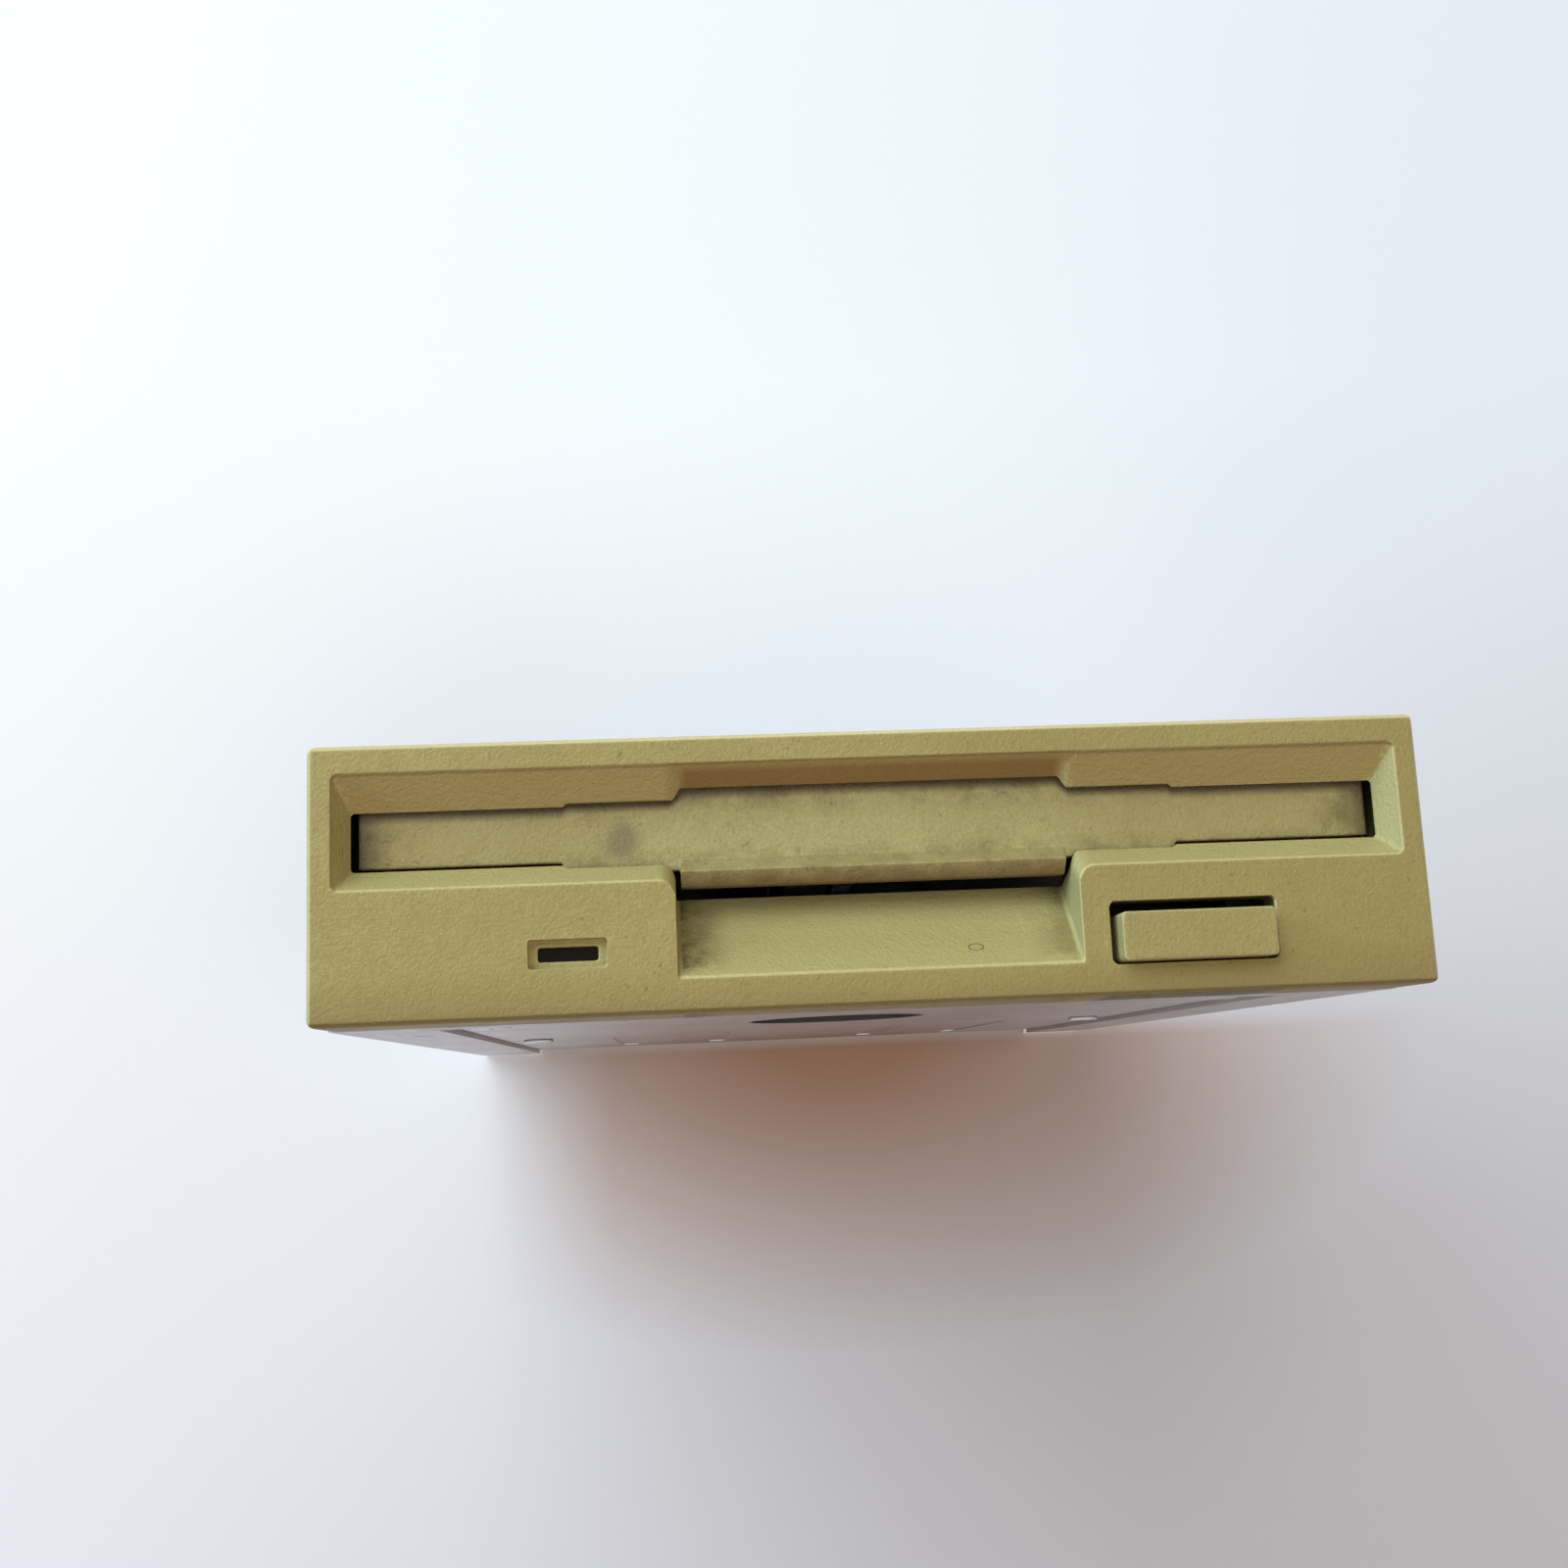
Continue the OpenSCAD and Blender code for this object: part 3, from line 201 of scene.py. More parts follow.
class DriveColours(bpy.types.PropertyGroup):
    """Colours of the drive's finishes."""

    bezel: shade("Bezel", "Yellowed plastic of the bezel", paint(167, 156, 98))
    # Used for stain patches and darker bands, and for painted shade on the lip's top face
    bezel_stain_and_shade: shade("Bezel stain", "Browner plastic in patches and along low edges", paint(138, 120, 74))
    door: shade("Door", "Yellowed plastic of the door", paint(179, 172, 119))
    button: shade("Button", "Yellowed plastic of the button", paint(165, 157, 101))
    # Used for soiling and specks, and for painted shade in hollows, in the button hole, along the door's
    # borders and at its seam
    grime_and_shade: shade("Grime", "Dirt in corners", paint(58, 44, 28))
    # Painted light: paler plastic on faces turned up towards the window lamp
    painted_window_light: shade("Bleached", "Plastic that faces the light", paint(208, 206, 150))
    # Painted light: paler, bluer plastic on faces turned left
    painted_light_left: shade("Cool sides", "Plastic that faces left", paint(204, 206, 162))
    # Painted light: paler, browner plastic on faces turned down
    painted_light_under: shade("Undersides", "Plastic that faces down", paint(196, 168, 124))
    # Painted light: paler plastic on faces turned right
    inner: shade("Warm sides", "Plastic that faces right", paint(190, 178, 124))
    # Paler ridges, partly worn and partly painted highlight
    rubbed_and_highlight: shade("Rubbed", "Plastic worn along ridges", paint(210, 204, 150))
    # Darker brown beside the scoop's walls
    scoop_side_brown: shade("Scoop dirt", "Dirt beside the scoop's walls", paint(78, 60, 30))
    # Painted light high on the scoop's floor, where the lip shades it
    scoop_floor_light: shade("Scoop floor", "Paler floor of the scoop under the lip", paint(222, 218, 156))
    notch_roof: shade("Notch roof", "Brown roof of the finger notch", paint(134, 88, 46))
    # Painted highlight on rims that face up
    rim_highlight: shade("Rim light", "Pale rims that face up", paint(226, 218, 162))
    # Painted shade on rims that face down
    rim_shade: shade("Rim dark", "Dark rims that face down", paint(92, 72, 38))
    smudge: shade("Smudge", "Grey smudge on the door", paint(104, 98, 86))
    # Darker brown at the door's ends
    door_end_dark: shade("Door ends", "Dirt at the door's ends", paint(74, 60, 38))
    # Painted shade at the lower edge of the door's lip
    lip: shade("Lip", "Browned lower edge of the door's lip", paint(92, 66, 32))
    lamp: shade("Lamp window", "Dark window in front of the lamp", paint(27, 22, 16))
    sheet: shade("Sheet metal", "Plated sheet of the case", paint(186, 180, 179))
    sheet_stain: shade("Sheet stain", "Stains on the plated sheet", paint(126, 108, 92))
    sheet_worn: shade("Sheet edges", "Bright worn edges of the sheet", paint(228, 226, 224))
    # Painted reflection of the table's shadow, on the middle of the underside
    tarnish: shade("Tarnish", "Brown tarnish under the drive", paint(146, 112, 94))
    # Painted shade at the cut edge of the spindle's window
    window_edge_shade: shade("Window edge", "Cut edge of the spindle's window", paint(40, 28, 24))
    steel: shade("Steel", "Ground and turned steel", paint(196, 196, 198))
    metal_worn: shade("Metal edges", "Bright worn edges of metal", (0.85, 0.84, 0.82))
    slide: shade("Slide", "Dark coating of the slide plate", paint(46, 42, 38))
    rotor: shade("Rotor", "Dark coating of the rotor plate", paint(54, 46, 42))
    dark: shade("Dark mouldings", "Black plastic mouldings", paint(34, 34, 35))
    pale: shade("Pale mouldings", "White plastic mouldings", paint(226, 223, 212))
    dust: shade("Dust", "Dust in the hollows of mouldings", paint(120, 110, 96))
    board: shade("Board", "Coated circuit board", paint(38, 92, 54))
    board_edge: shade("Board edges", "Bare edges of a circuit board", paint(176, 160, 104))
    copper: shade("Copper", "Enamelled winding wire", paint(172, 96, 54))
    brass: shade("Brass", "Bearing bush", paint(196, 162, 92))
    gold: shade("Pins", "Plated contact pins", paint(206, 172, 104))
    magnet: shade("Magnets", "Moulded ferrite", paint(52, 52, 54))
    ribbon: shade("Ribbons", "Film ribbon cables", paint(190, 136, 66))
    table: shade("Table", "Pale table behind and below the drive", paint(250, 254, 255))
    # Painted shade on the table: darker and cooler low, at the right and most in the lower right corner
    table_low_shade: shade("Table low", "Table towards the lower edge", paint(236, 234, 250))
    table_right_shade: shade("Table right", "Table towards the right edge", paint(224, 236, 255))
    table_corner_shade: shade("Table corner", "Table towards the lower right corner", paint(190, 184, 186))
    # Painted shadow, browner, on the table below the drive
    warm: shade("Warm shade", "Warm cast on the table beside the drive", paint(206, 164, 136))


class DriveStage(bpy.types.PropertyGroup):
    """Camera and light."""

    camera_place: bpy.props.FloatVectorProperty(
        name="Camera place",
        description="Where the camera stands",
        default=(-18.74 * MM, -226.33 * MM, -6.07 * MM),
        subtype="TRANSLATION",
        unit="LENGTH",
    )
    camera_turn: bpy.props.FloatVectorProperty(
        name="Camera turn",
        description="How the camera is turned",
        default=(math.radians(99.669), math.radians(2.490), math.radians(-3.494)),
        subtype="EULER",
        unit="ROTATION",
    )
    camera_lens: bpy.props.FloatProperty(
        name="Lens", description="Focal length in millimetres on a 36 mm sensor", default=39.78
    )
    window_power: power("Window", "Power of the large upper lamp", 24.0)
    window_colour: shade("Window colour", "Colour of the large upper lamp", (0.85, 0.965, 1.0))
    left_power: power("Left light", "Power of the lamp at the left", 9.0)
    left_colour: shade("Left colour", "Colour of the lamp at the left", (0.66, 0.92, 1.0))
    front_power: power("Front light", "Power of the lamp in front", 14.0)
    front_colour: shade("Front colour", "Colour of the lamp in front", (1.0, 0.93, 0.84))
    top_power: power("Top light", "Power of the lamp above", 4.0)
    top_colour: shade("Top colour", "Colour of the lamp above", WHITE)
    right_power: power("Right light", "Power of the lamp at the right", 5.0)
    right_colour: shade("Right colour", "Colour of the lamp at the right", WHITE)
    rear_power: power("Rear light", "Power of the lamp behind", 8.0)
    rear_colour: shade("Rear colour", "Colour of the lamp behind", WHITE)
    sky_level: portion("Sky level", "Strength of the light from all round", 0.2)
    sky_colour: shade("Sky colour", "Colour of the light from all round", (1.0, 0.72, 0.52))


def chosen(group):
    """One of the scene's property groups."""
    return getattr(bpy.context.scene, "drive_" + group)


class Finish:
    """One procedural material, wired node by node on object coordinates."""

    def __init__(self, name):
        self.material = bpy.data.materials.new(name)
        self.material.use_nodes = True
        self.tree = self.material.node_tree
        self.shader = self.tree.nodes["Principled BSDF"]
        self.output = self.tree.nodes["Material Output"]
        self.coords = self.node("ShaderNodeTexCoord").outputs["Object"]

    def node(self, kind, **settings):
        """A new node with its settings."""
        made = self.tree.nodes.new(kind)
        for key, value in settings.items():
            setattr(made, key, value)
        return made

    def feed(self, socket, value):
        """Links a socket or sets a constant on it."""
        if isinstance(value, bpy.types.NodeSocket):
            self.tree.links.new(value, socket)
        elif socket.type == "RGBA" and len(value) == 3:
            socket.default_value = (*value, 1)
        else:
            socket.default_value = value

    def wire(self, name, value):
        """Feeds one of the shader's own inputs."""
        self.feed(self.shader.inputs[name], value)

    def stretched(self, scale):
        """Object coordinates stretched along their axes."""
        mapping = self.node("ShaderNodeMapping")
        self.feed(mapping.inputs["Vector"], self.coords)
        mapping.inputs["Scale"].default_value = scale
        return mapping.outputs["Vector"]

    def noise(self, scale, detail=2, roughness=0.5, vector=None):
        """Cloudy noise."""
        texture = self.node("ShaderNodeTexNoise")
        self.feed(texture.inputs["Vector"], vector or self.coords)
        texture.inputs["Scale"].default_value = scale
        texture.inputs["Detail"].default_value = detail
        texture.inputs["Roughness"].default_value = roughness
        return texture.outputs["Fac"]

    def cells(self, scale):
        """Cells, each with a value of its own."""
        texture = self.node("ShaderNodeTexVoronoi")
        self.feed(texture.inputs["Vector"], self.coords)
        texture.inputs["Scale"].default_value = scale
        return texture.outputs["Color"]

    def spread(self, value, low, high, to_low=0.0, to_high=1.0):
        """A value mapped from one range to another and held inside it."""
        ranged = self.node("ShaderNodeMapRange")
        self.feed(ranged.inputs["Value"], value)
        ranged.inputs["From Min"].default_value = low
        ranged.inputs["From Max"].default_value = high
        ranged.inputs["To Min"].default_value = to_low
        ranged.inputs["To Max"].default_value = to_high
        return ranged.outputs["Result"]

    def fall(self, value, low, high):
        """One up to the low limit, falling to nothing at the high one."""
        return self.spread(value, low, high, 1.0, 0.0)

    def worked(self, operation, first, second):
        """Two values worked together."""
        made = self.node("ShaderNodeMath", operation=operation)
        self.feed(made.inputs[0], first)
        self.feed(made.inputs[1], second)
        return made.outputs[0]

    def product(self, first, *others):
        """Values multiplied together."""
        for other in others:
            first = self.worked("MULTIPLY", first, other)
        return first

    def tint(self, amount, under, over, blend="MIX"):
        """One colour blended over another."""
        mixed = self.node("ShaderNodeMix", data_type="RGBA", blend_type=blend)
        for place, value in ((0, amount), (6, under), (7, over)):
            self.feed(mixed.inputs[place], value)
        return mixed.outputs[2]

    def stain(self, base, colour, amount, *masks):
        """A colour laid over the base where all the masks meet, up to an amount."""
        return self.tint(self.product(*masks, amount), base, colour)

    def spot(self, place, reach, soft, stretch=(1, 1, 1)):
        """One inside a reach about a place, falling to nothing over the soft border."""
        apart = self.node("ShaderNodeVectorMath", operation="DISTANCE")
        self.feed(apart.inputs[0], self.stretched(stretch))
        apart.inputs[1].default_value = [part * by for part, by in zip(place, stretch)]
        return self.fall(apart.outputs["Value"], reach, reach + soft)

    def axis(self, name):
        """One of the object's own coordinates."""
        split = self.node("ShaderNodeSeparateXYZ")
        self.feed(split.inputs[0], self.coords)
        return split.outputs[name]

    def sideways(self, middle=0.0):
        """Distance across from a middle."""
        away = self.node("ShaderNodeMath", operation="ABSOLUTE")
        self.feed(away.inputs[0], self.worked("SUBTRACT", self.axis("X"), middle))
        return away.outputs[0]

    def bump(self, height, depth, strength):
        """A normal raised by a height."""
        bumped = self.node("ShaderNodeBump")
        self.feed(bumped.inputs["Height"], height)
        bumped.inputs["Distance"].default_value = depth
        bumped.inputs["Strength"].default_value = strength
        return bumped.outputs["Normal"]

    def hollows(self, reach):
        """How closed in the surface is."""
        shadow = self.node("ShaderNodeAmbientOcclusion", samples=6, only_local=True)
        shadow.inputs["Distance"].default_value = reach
        return self.worked("SUBTRACT", 1.0, shadow.outputs["AO"])

    def worn(self, reach, full=0.25):
        """One along sharp edges."""
        soft = self.node("ShaderNodeBevel", samples=4)
        soft.inputs["Radius"].default_value = reach
        true = self.node("ShaderNodeNewGeometry")
        turned = self.node("ShaderNodeVectorMath", operation="DOT_PRODUCT")
        self.feed(turned.inputs[0], soft.outputs["Normal"])
        self.feed(turned.inputs[1], true.outputs["Normal"])
        return self.spread(self.worked("SUBTRACT", 1.0, turned.outputs["Value"]), 0.02, full)

    def facing(self, way):
        """How far the surface faces one way, from minus one to one."""
        turned = self.node("ShaderNodeVectorMath", operation="DOT_PRODUCT")
        self.feed(turned.inputs[0], self.node("ShaderNodeNewGeometry").outputs["Normal"])
        turned.inputs[1].default_value = way
        return turned.outputs["Value"]

    def ridges(self):
        """How far the mesh stands out at a point."""
        return self.node("ShaderNodeNewGeometry").outputs["Pointiness"]


def aged_plastic_and_painted_light(name, main, roughness, marks=None):
    """Yellowed moulded plastic with a fine grain, patches of stain, soiling with painted shade in its
    corners, painted light on faces turned up, left, down and right, and paler ridges that are partly worn
    and partly painted highlight.
    """
    tints = chosen("colours")
    look = Finish(name)
    patches = look.spread(look.noise(38, 4, 0.6), 0.38, 0.72)
    base = look.stain(main, tints.bezel_stain_and_shade, 0.28, patches)
    mottle = look.spread(look.noise(420, 4, 0.7), 0.35, 0.7)
    base = look.stain(base, tints.bezel_stain_and_shade, 0.2, mottle)
    pores = look.spread(look.noise(2600, 3, 0.6), 0.42, 0.68)
    base = look.stain(base, tints.bezel_stain_and_shade, 0.3, pores)
    specks = look.spread(look.noise(1300, 2), 0.68, 0.74)
    sparse = look.spread(look.noise(90, 3), 0.44, 0.6)
    base = look.stain(base, tints.grime_and_shade, 0.4, specks, sparse)
    # Soiling with painted shade in the hollows
    hollow_grime_and_shade = look.spread(look.hollows(1.4 * MM), 0.3, 0.8)
    streaks = look.spread(look.noise(260, 5, 0.65), 0.36, 0.66)
    base = look.stain(base, tints.grime_and_shade, 0.75, hollow_grime_and_shade, streaks)
    # Painted light: paler plastic on faces turned up, left, down and right
    base = look.stain(base, tints.painted_window_light, 0.3, look.spread(look.facing(TO_WINDOW), 0.2, 0.75))
    base = look.stain(base, tints.painted_light_left, 0.4, look.spread(look.facing(LEFTWARD), 0.4, 0.9))
    base = look.stain(base, tints.painted_light_under, 0.42, look.spread(look.facing(DOWNWARD), 0.3, 0.7))
    base = look.stain(base, tints.inner, 0.4, look.spread(look.facing(RIGHTWARD), 0.4, 0.9))
    # Paler ridges, partly worn and partly painted highlight
    ridges = look.spread(look.ridges(), 0.51, 0.55)
    uneven = look.spread(look.noise(500, 4, 0.7), 0.36, 0.6, 0.3, 1.0)
    base = look.stain(base, tints.rubbed_and_highlight, 0.4, ridges, uneven)
    if marks:
        base = marks(look, base)
    look.wire("Base Color", base)
    patchy = look.spread(look.noise(120, 3), 0.3, 0.7, roughness - 0.05, roughness + 0.07)
    look.wire("Roughness", patchy)
    look.wire("Specular IOR Level", 0.35)
    grain = look.worked("ADD", look.noise(3300, 2), look.product(look.noise(1500, 3), 0.8))
    look.wire("Normal", look.bump(grain, 0.1 * MM, 0.9))
    return look.material


def bezel_marks(look, base):
    """Darker lower edge and right side, darker brown scoop sides, painted light in the scoop, brown notch
    roof, painted shade in the button hole, painted highlight and shade on the rims, and the mould mark.
    """
    tints = chosen("colours")
    across = look.axis("X")
    deep = look.axis("Y")
    level = look.axis("Z")
    away = look.sideways()
    front = look.fall(deep, FACE + 0.1 * MM, FACE + 0.5 * MM)
    # Darker towards the bottom of the face, towards its right and along its bottom edge
    base = look.stain(base, tints.bezel_stain_and_shade, 0.6, look.fall(level, 1.0 * MM, 4.5 * MM), front)
    base = look.stain(base, tints.bezel_stain_and_shade, 0.36, look.spread(across, 5 * MM, 50 * MM), front)
    base = look.stain(base, tints.bezel_stain_and_shade, 0.6, look.fall(level, 0.3 * MM, 1.2 * MM))

    # Scoop: darker brown beside its walls, heavier at the left, and painted light high on its floor under
    # the lip
    inside = look.spread(deep, FACE + 0.3 * MM, FACE + 1.2 * MM)
    below = look.fall(level, SCOOP_TOP - 0.1 * MM, SCOOP_TOP + 0.1 * MM)
    beside = look.spread(away, SCOOP_HALF - 4.6 * MM, SCOOP_HALF - 1.0 * MM)
    between = look.fall(away, SCOOP_HALF - 0.2 * MM, SCOOP_HALF)
    blotches = look.spread(look.noise(330, 5, 0.7), 0.3, 0.58)
    heavier_left = look.spread(across, -6 * MM, 6 * MM, 0.85, 0.42)
    base = look.stain(base, tints.scoop_side_brown, heavier_left, beside, between, inside, below, blotches)
    under_lip = look.spread(level, 6.5 * MM, 10.5 * MM)
    middle = look.fall(away, SCOOP_HALF - 1.0 * MM, SCOOP_HALF - 0.2 * MM)
    base = look.stain(base, tints.scoop_floor_light, 0.3, middle, under_lip, inside, below)

    # Roof of the finger notch
    notch = look.fall(away, NOTCH_HALF - 0.4 * MM, NOTCH_HALF + 0.4 * MM)
    roof = look.spread(level, ROOF_NOTCH - 0.25 * MM, ROOF_NOTCH - 0.05 * MM)
    low_roof = look.fall(level, ROOF_FRONT - 0.1 * MM, ROOF_FRONT + 0.1 * MM)
    base = look.stain(base, tints.notch_roof, 0.6, notch, roof, inside, low_roof)

    # Painted shade inside the button hole
    low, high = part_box("eject_button")
    half = (high.x - low.x) / 2
    around = look.fall(look.sideways((low.x + high.x) / 2), half + 0.8 * MM, half + 1.0 * MM)
    under_top = look.fall(level, high.z + 1.6 * MM, high.z + 1.8 * MM)
    hole = look.spread(deep, FACE + 0.25 * MM, FACE + 0.6 * MM)
    base = look.stain(base, tints.grime_and_shade, 0.8, around, under_top, hole)

    # Rims just behind the face: painted highlight where they face up, painted shade where they face down
    begun = look.spread(deep, FACE + 0.02 * MM, FACE + 0.08 * MM)
    ended = look.fall(deep, FACE + 0.22 * MM, FACE + 0.36 * MM)
    raised = look.spread(look.facing(RIM_UPWARD), 0.08, 0.4)
    base = look.stain(base, tints.rim_highlight, 0.42, begun, ended, raised)
    hanging = look.spread(look.facing(DOWNWARD), 0.08, 0.4)
    base = look.stain(base, tints.rim_shade, 0.4, begun, ended, hanging)

    # Round mould mark
    outer = look.spot(MARK, 0.7 * MM, 0.1 * MM, MARK_SHAPE)
    inner = look.spot(MARK, 0.52 * MM, 0.1 * MM, MARK_SHAPE)
    return look.stain(base, tints.grime_and_shade, 0.62, look.worked("SUBTRACT", outer, inner))


def door_marks(look, base):
    """Grey smudge, darker towards and at the ends, soiling with painted shade along the borders, painted
    shadow along the seam, painted shade on the lip, and rub marks.
    """
    tints = chosen("colours")
    level = look.axis("Z")
    away = look.sideways()
    cloudy = look.spread(look.noise(500, 5, 0.7), 0.26, 0.56)
    base = look.stain(base, tints.smudge, 0.7, look.spot(SMUDGE, 1.0 * MM, 1.4 * MM), cloudy)
    # Darker towards the ends, and darker brown at the ends themselves
    base = look.stain(base, tints.bezel_stain_and_shade, 0.38, look.spread(away, 17 * MM, 24 * MM))
    base = look.stain(base, tints.door_end_dark, 0.85, look.spread(away, DOOR_END - 3.2 * MM, DOOR_END))

    # Borders: soiling with painted shade, in blotches
    upper = look.spread(level, DOOR_HIGH - 2.8 * MM, DOOR_HIGH)
    lower = look.product(look.fall(level, DOOR_LOW, DOOR_LOW + 1.2 * MM), 0.7)
    ends = look.product(look.spread(away, DOOR_END - 6.3 * MM, DOOR_END), 1.3)
    border = look.worked("MAXIMUM", look.worked("MAXIMUM", upper, lower), ends)
    blotches = look.spread(look.noise(300, 6, 0.72), 0.42, 0.66)
    base = look.stain(base, tints.grime_and_shade, 0.58, border, blotches)

    # Painted shadow along the seam under the stepped roof of the slot
    stepped = look.spread(away, STEP_PLACE, STEP_PLACE + 0.5 * MM, ROOF_INNER, ROOF_OUTER)
    notched = look.spread(away, NOTCH_HALF, NOTCH_HALF + 1.2 * MM, ROOF_NOTCH - ROOF_INNER, 0.0)
    below_roof = look.worked("SUBTRACT", look.worked("ADD", stepped, notched), level)
    base = look.stain(base, tints.grime_and_shade, 0.85, look.fall(below_roof, 0.2 * MM, 0.95 * MM))

    # Painted shade on the lip's top face and at its lower edge, and rub marks
    base = look.stain(base, tints.bezel_stain_and_shade, 0.45, look.spread(look.facing(LIP_TOP), 0.86, 0.97))
    base = look.stain(base, tints.lip, 0.8, look.fall(level, LIP_LOW, LIP_LOW + 1.6 * MM))
    rubs = look.spread(look.noise(900, 4, 0.75), 0.58, 0.68)
    sparse = look.spread(look.noise(120, 3), 0.46, 0.6)
    return look.stain(base, tints.grime_and_shade, 0.4, rubs, sparse)


def frame_marks(look, base):
    """Painted reflection of the table's shadow: a browner middle of the underside."""
    middle = look.fall(look.sideways(), 18 * MM, 34 * MM)
    under = look.spread(look.facing(UNDERNEATH), 0.6, 0.9)
    return look.stain(base, chosen("colours").tarnish, 0.55, middle, under)


def shield_marks(look, base):
    """Painted reflection browning the middle of the underside, and painted shade at the cut edge of the
    spindle's window.
    """
    low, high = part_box("spindle_shaft")
    middle = ((low.x + high.x) / 2, (low.y + high.y) / 2, 0)
    window = look.spot(middle, WINDOW_EDGE, 0.15 * MM, (1, 1, 0))
    return look.stain(frame_marks(look, base), chosen("colours").window_edge_shade, 0.85, window)


def plated_sheet(name, main, rolling, marks=None):
    """Zinc plated sheet with faint spangle, rolling marks, stains and worn edges."""
    tints = chosen("colours")
    look = Finish(name)
    spangle = look.spread(look.cells(190), 0.2, 0.8, 0.965, 1.025)
    cloud = look.spread(look.noise(30, 5, 0.6), 0.3, 0.75, 1.04, 0.86)
    base = look.tint(1.0, main, look.product(spangle, cloud), "MULTIPLY")
    stains = look.spread(look.noise(75, 6, 0.7), 0.6, 0.8)
    base = look.stain(base, tints.sheet_stain, 0.35, stains)
    base = look.stain(base, tints.sheet_worn, 0.3, look.worn(0.3 * MM, 0.2))
    if marks:
        base = marks(look, base)
    look.wire("Base Color", base)
    rolled = look.noise(900, 3, 0.6, look.stretched(rolling))
    uneven = look.spread(rolled, 0.3, 0.7, 0.36, 0.52)
    look.wire("Roughness", look.worked("ADD", uneven, look.product(stains, 0.12)))
    look.wire("Metallic", 1.0)
    fine = look.worked("ADD", rolled, look.product(look.noise(2600, 2), 0.5))
    look.wire("Normal", look.bump(fine, 0.004 * MM, 0.5))
    return look.material


def turned_metal(name, main, roughness=0.28):
    """Turned or drawn metal with fine marks and a little tarnish."""
    look = Finish(name)
    tarnish = look.spread(look.noise(140, 4, 0.6), 0.4, 0.75)
    browned = (main[0] * 0.55, main[1] * 0.5, main[2] * 0.45)
    base = look.stain(main, browned, 0.3, tarnish)
    base = look.stain(base, chosen("colours").metal_worn, 0.4, look.worn(0.15 * MM))
    look.wire("Base Color", base)
    fine = look.noise(2400, 3, 0.6)
    look.wire("Roughness", look.spread(fine, 0.3, 0.7, roughness - 0.06, roughness + 0.1))
    look.wire("Metallic", 1.0)
    look.wire("Normal", look.bump(fine, 0.003 * MM, 0.5))
    return look.material


def moulding(name, main, roughness=0.5, dust=0.18, shine=0.4):
    """Plain moulded plastic with a fine grain, dust in its hollows and paler edges."""
    look = Finish(name)
    cloud = look.spread(look.noise(110, 4), 0.35, 0.7)
    base = look.stain(main, scaled(main, 0.7), 0.25, cloud)
    settled = look.spread(look.hollows(1.0 * MM), 0.3, 0.8)
    base = look.stain(base, chosen("colours").dust, dust, settled)
    paler = tuple(min(1, part * 1.7 + 0.02) for part in main)
    base = look.stain(base, paler, 0.2, look.worn(0.15 * MM))
    look.wire("Base Color", base)
    patchy = look.spread(look.noise(300, 3), 0.3, 0.7, roughness - 0.06, roughness + 0.08)
    look.wire("Roughness", patchy)
    look.wire("Specular IOR Level", shine)
    look.wire("Normal", look.bump(look.noise(4200, 2), 0.008 * MM, 0.5))
    return look.material


def board_coating(name, main):
    """Coated board with faint copper tracks under the coating and bare edges."""
    look = Finish(name)
    bricks = look.node("ShaderNodeTexBrick", offset=0.37, squash=1.0)
    look.feed(bricks.inputs["Vector"], look.coords)
    bricks.inputs["Scale"].default_value = 420
    bricks.inputs["Mortar Size"].default_value = 0.06
    bricks.inputs["Brick Width"].default_value = 2.6
    bricks.inputs["Row Height"].default_value = 0.5
    tracks = bricks.outputs["Fac"]
    base = look.tint(tracks, scaled(main, 1.7), main)
    cloud = look.spread(look.noise(90, 4), 0.35, 0.7)
    base = look.stain(base, scaled(main, 0.6), 0.3, cloud)
    base = look.stain(base, chosen("colours").board_edge, 0.6, look.worn(0.15 * MM))
    look.wire("Base Color", base)
    look.wire("Roughness", look.spread(look.noise(400, 3), 0.3, 0.7, 0.28, 0.42))
    look.wire("Normal", look.bump(tracks, 0.01 * MM, 0.4))
    return look.material


def ridged_steel(look, main, ridge, valley_shade_and_tarnish, depth, smoothest):
    """Bright steel, darkened by painted shade in the valleys between its ridges and by patches of tarnish.
    """
    base = look.tint(valley_shade_and_tarnish, main[0], main[1])
    base = look.stain(base, chosen("colours").metal_worn, 0.3, look.worn(0.1 * MM))
    look.wire("Base Color", base)
    look.wire("Roughness", look.spread(look.noise(1800, 2), 0.3, 0.7, smoothest, 0.4))
    look.wire("Metallic", 1.0)
    look.wire("Normal", look.bump(ridge, depth, 0.8))
    return look.material


def threaded(name, main):
    """Rolled screw thread that winds round the lead screw."""
    look = Finish(name)
    low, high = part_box("lead_screw")
    aside = look.worked("SUBTRACT", look.axis("X"), (low.x + high.x) / 2)
    above = look.worked("SUBTRACT", look.axis("Z"), (low.z + high.z) / 2)
    turned = look.product(look.worked("ARCTAN2", aside, above), 0.5 / math.pi)
    turns = look.worked("SUBTRACT", look.product(look.axis("Y"), 0.8 / MM), turned)
    ridge = look.worked("PINGPONG", turns, 0.5)
    tarnish = look.spread(look.noise(200, 4), 0.4, 0.75)
    valley_shade_and_tarnish = look.worked("MAXIMUM", look.spread(ridge, 0.3, 0.05), look.product(tarnish, 0.4))
    return ridged_steel(look, (main, scaled(main, 0.45)), ridge, valley_shade_and_tarnish, 0.5 * MM, 0.24)


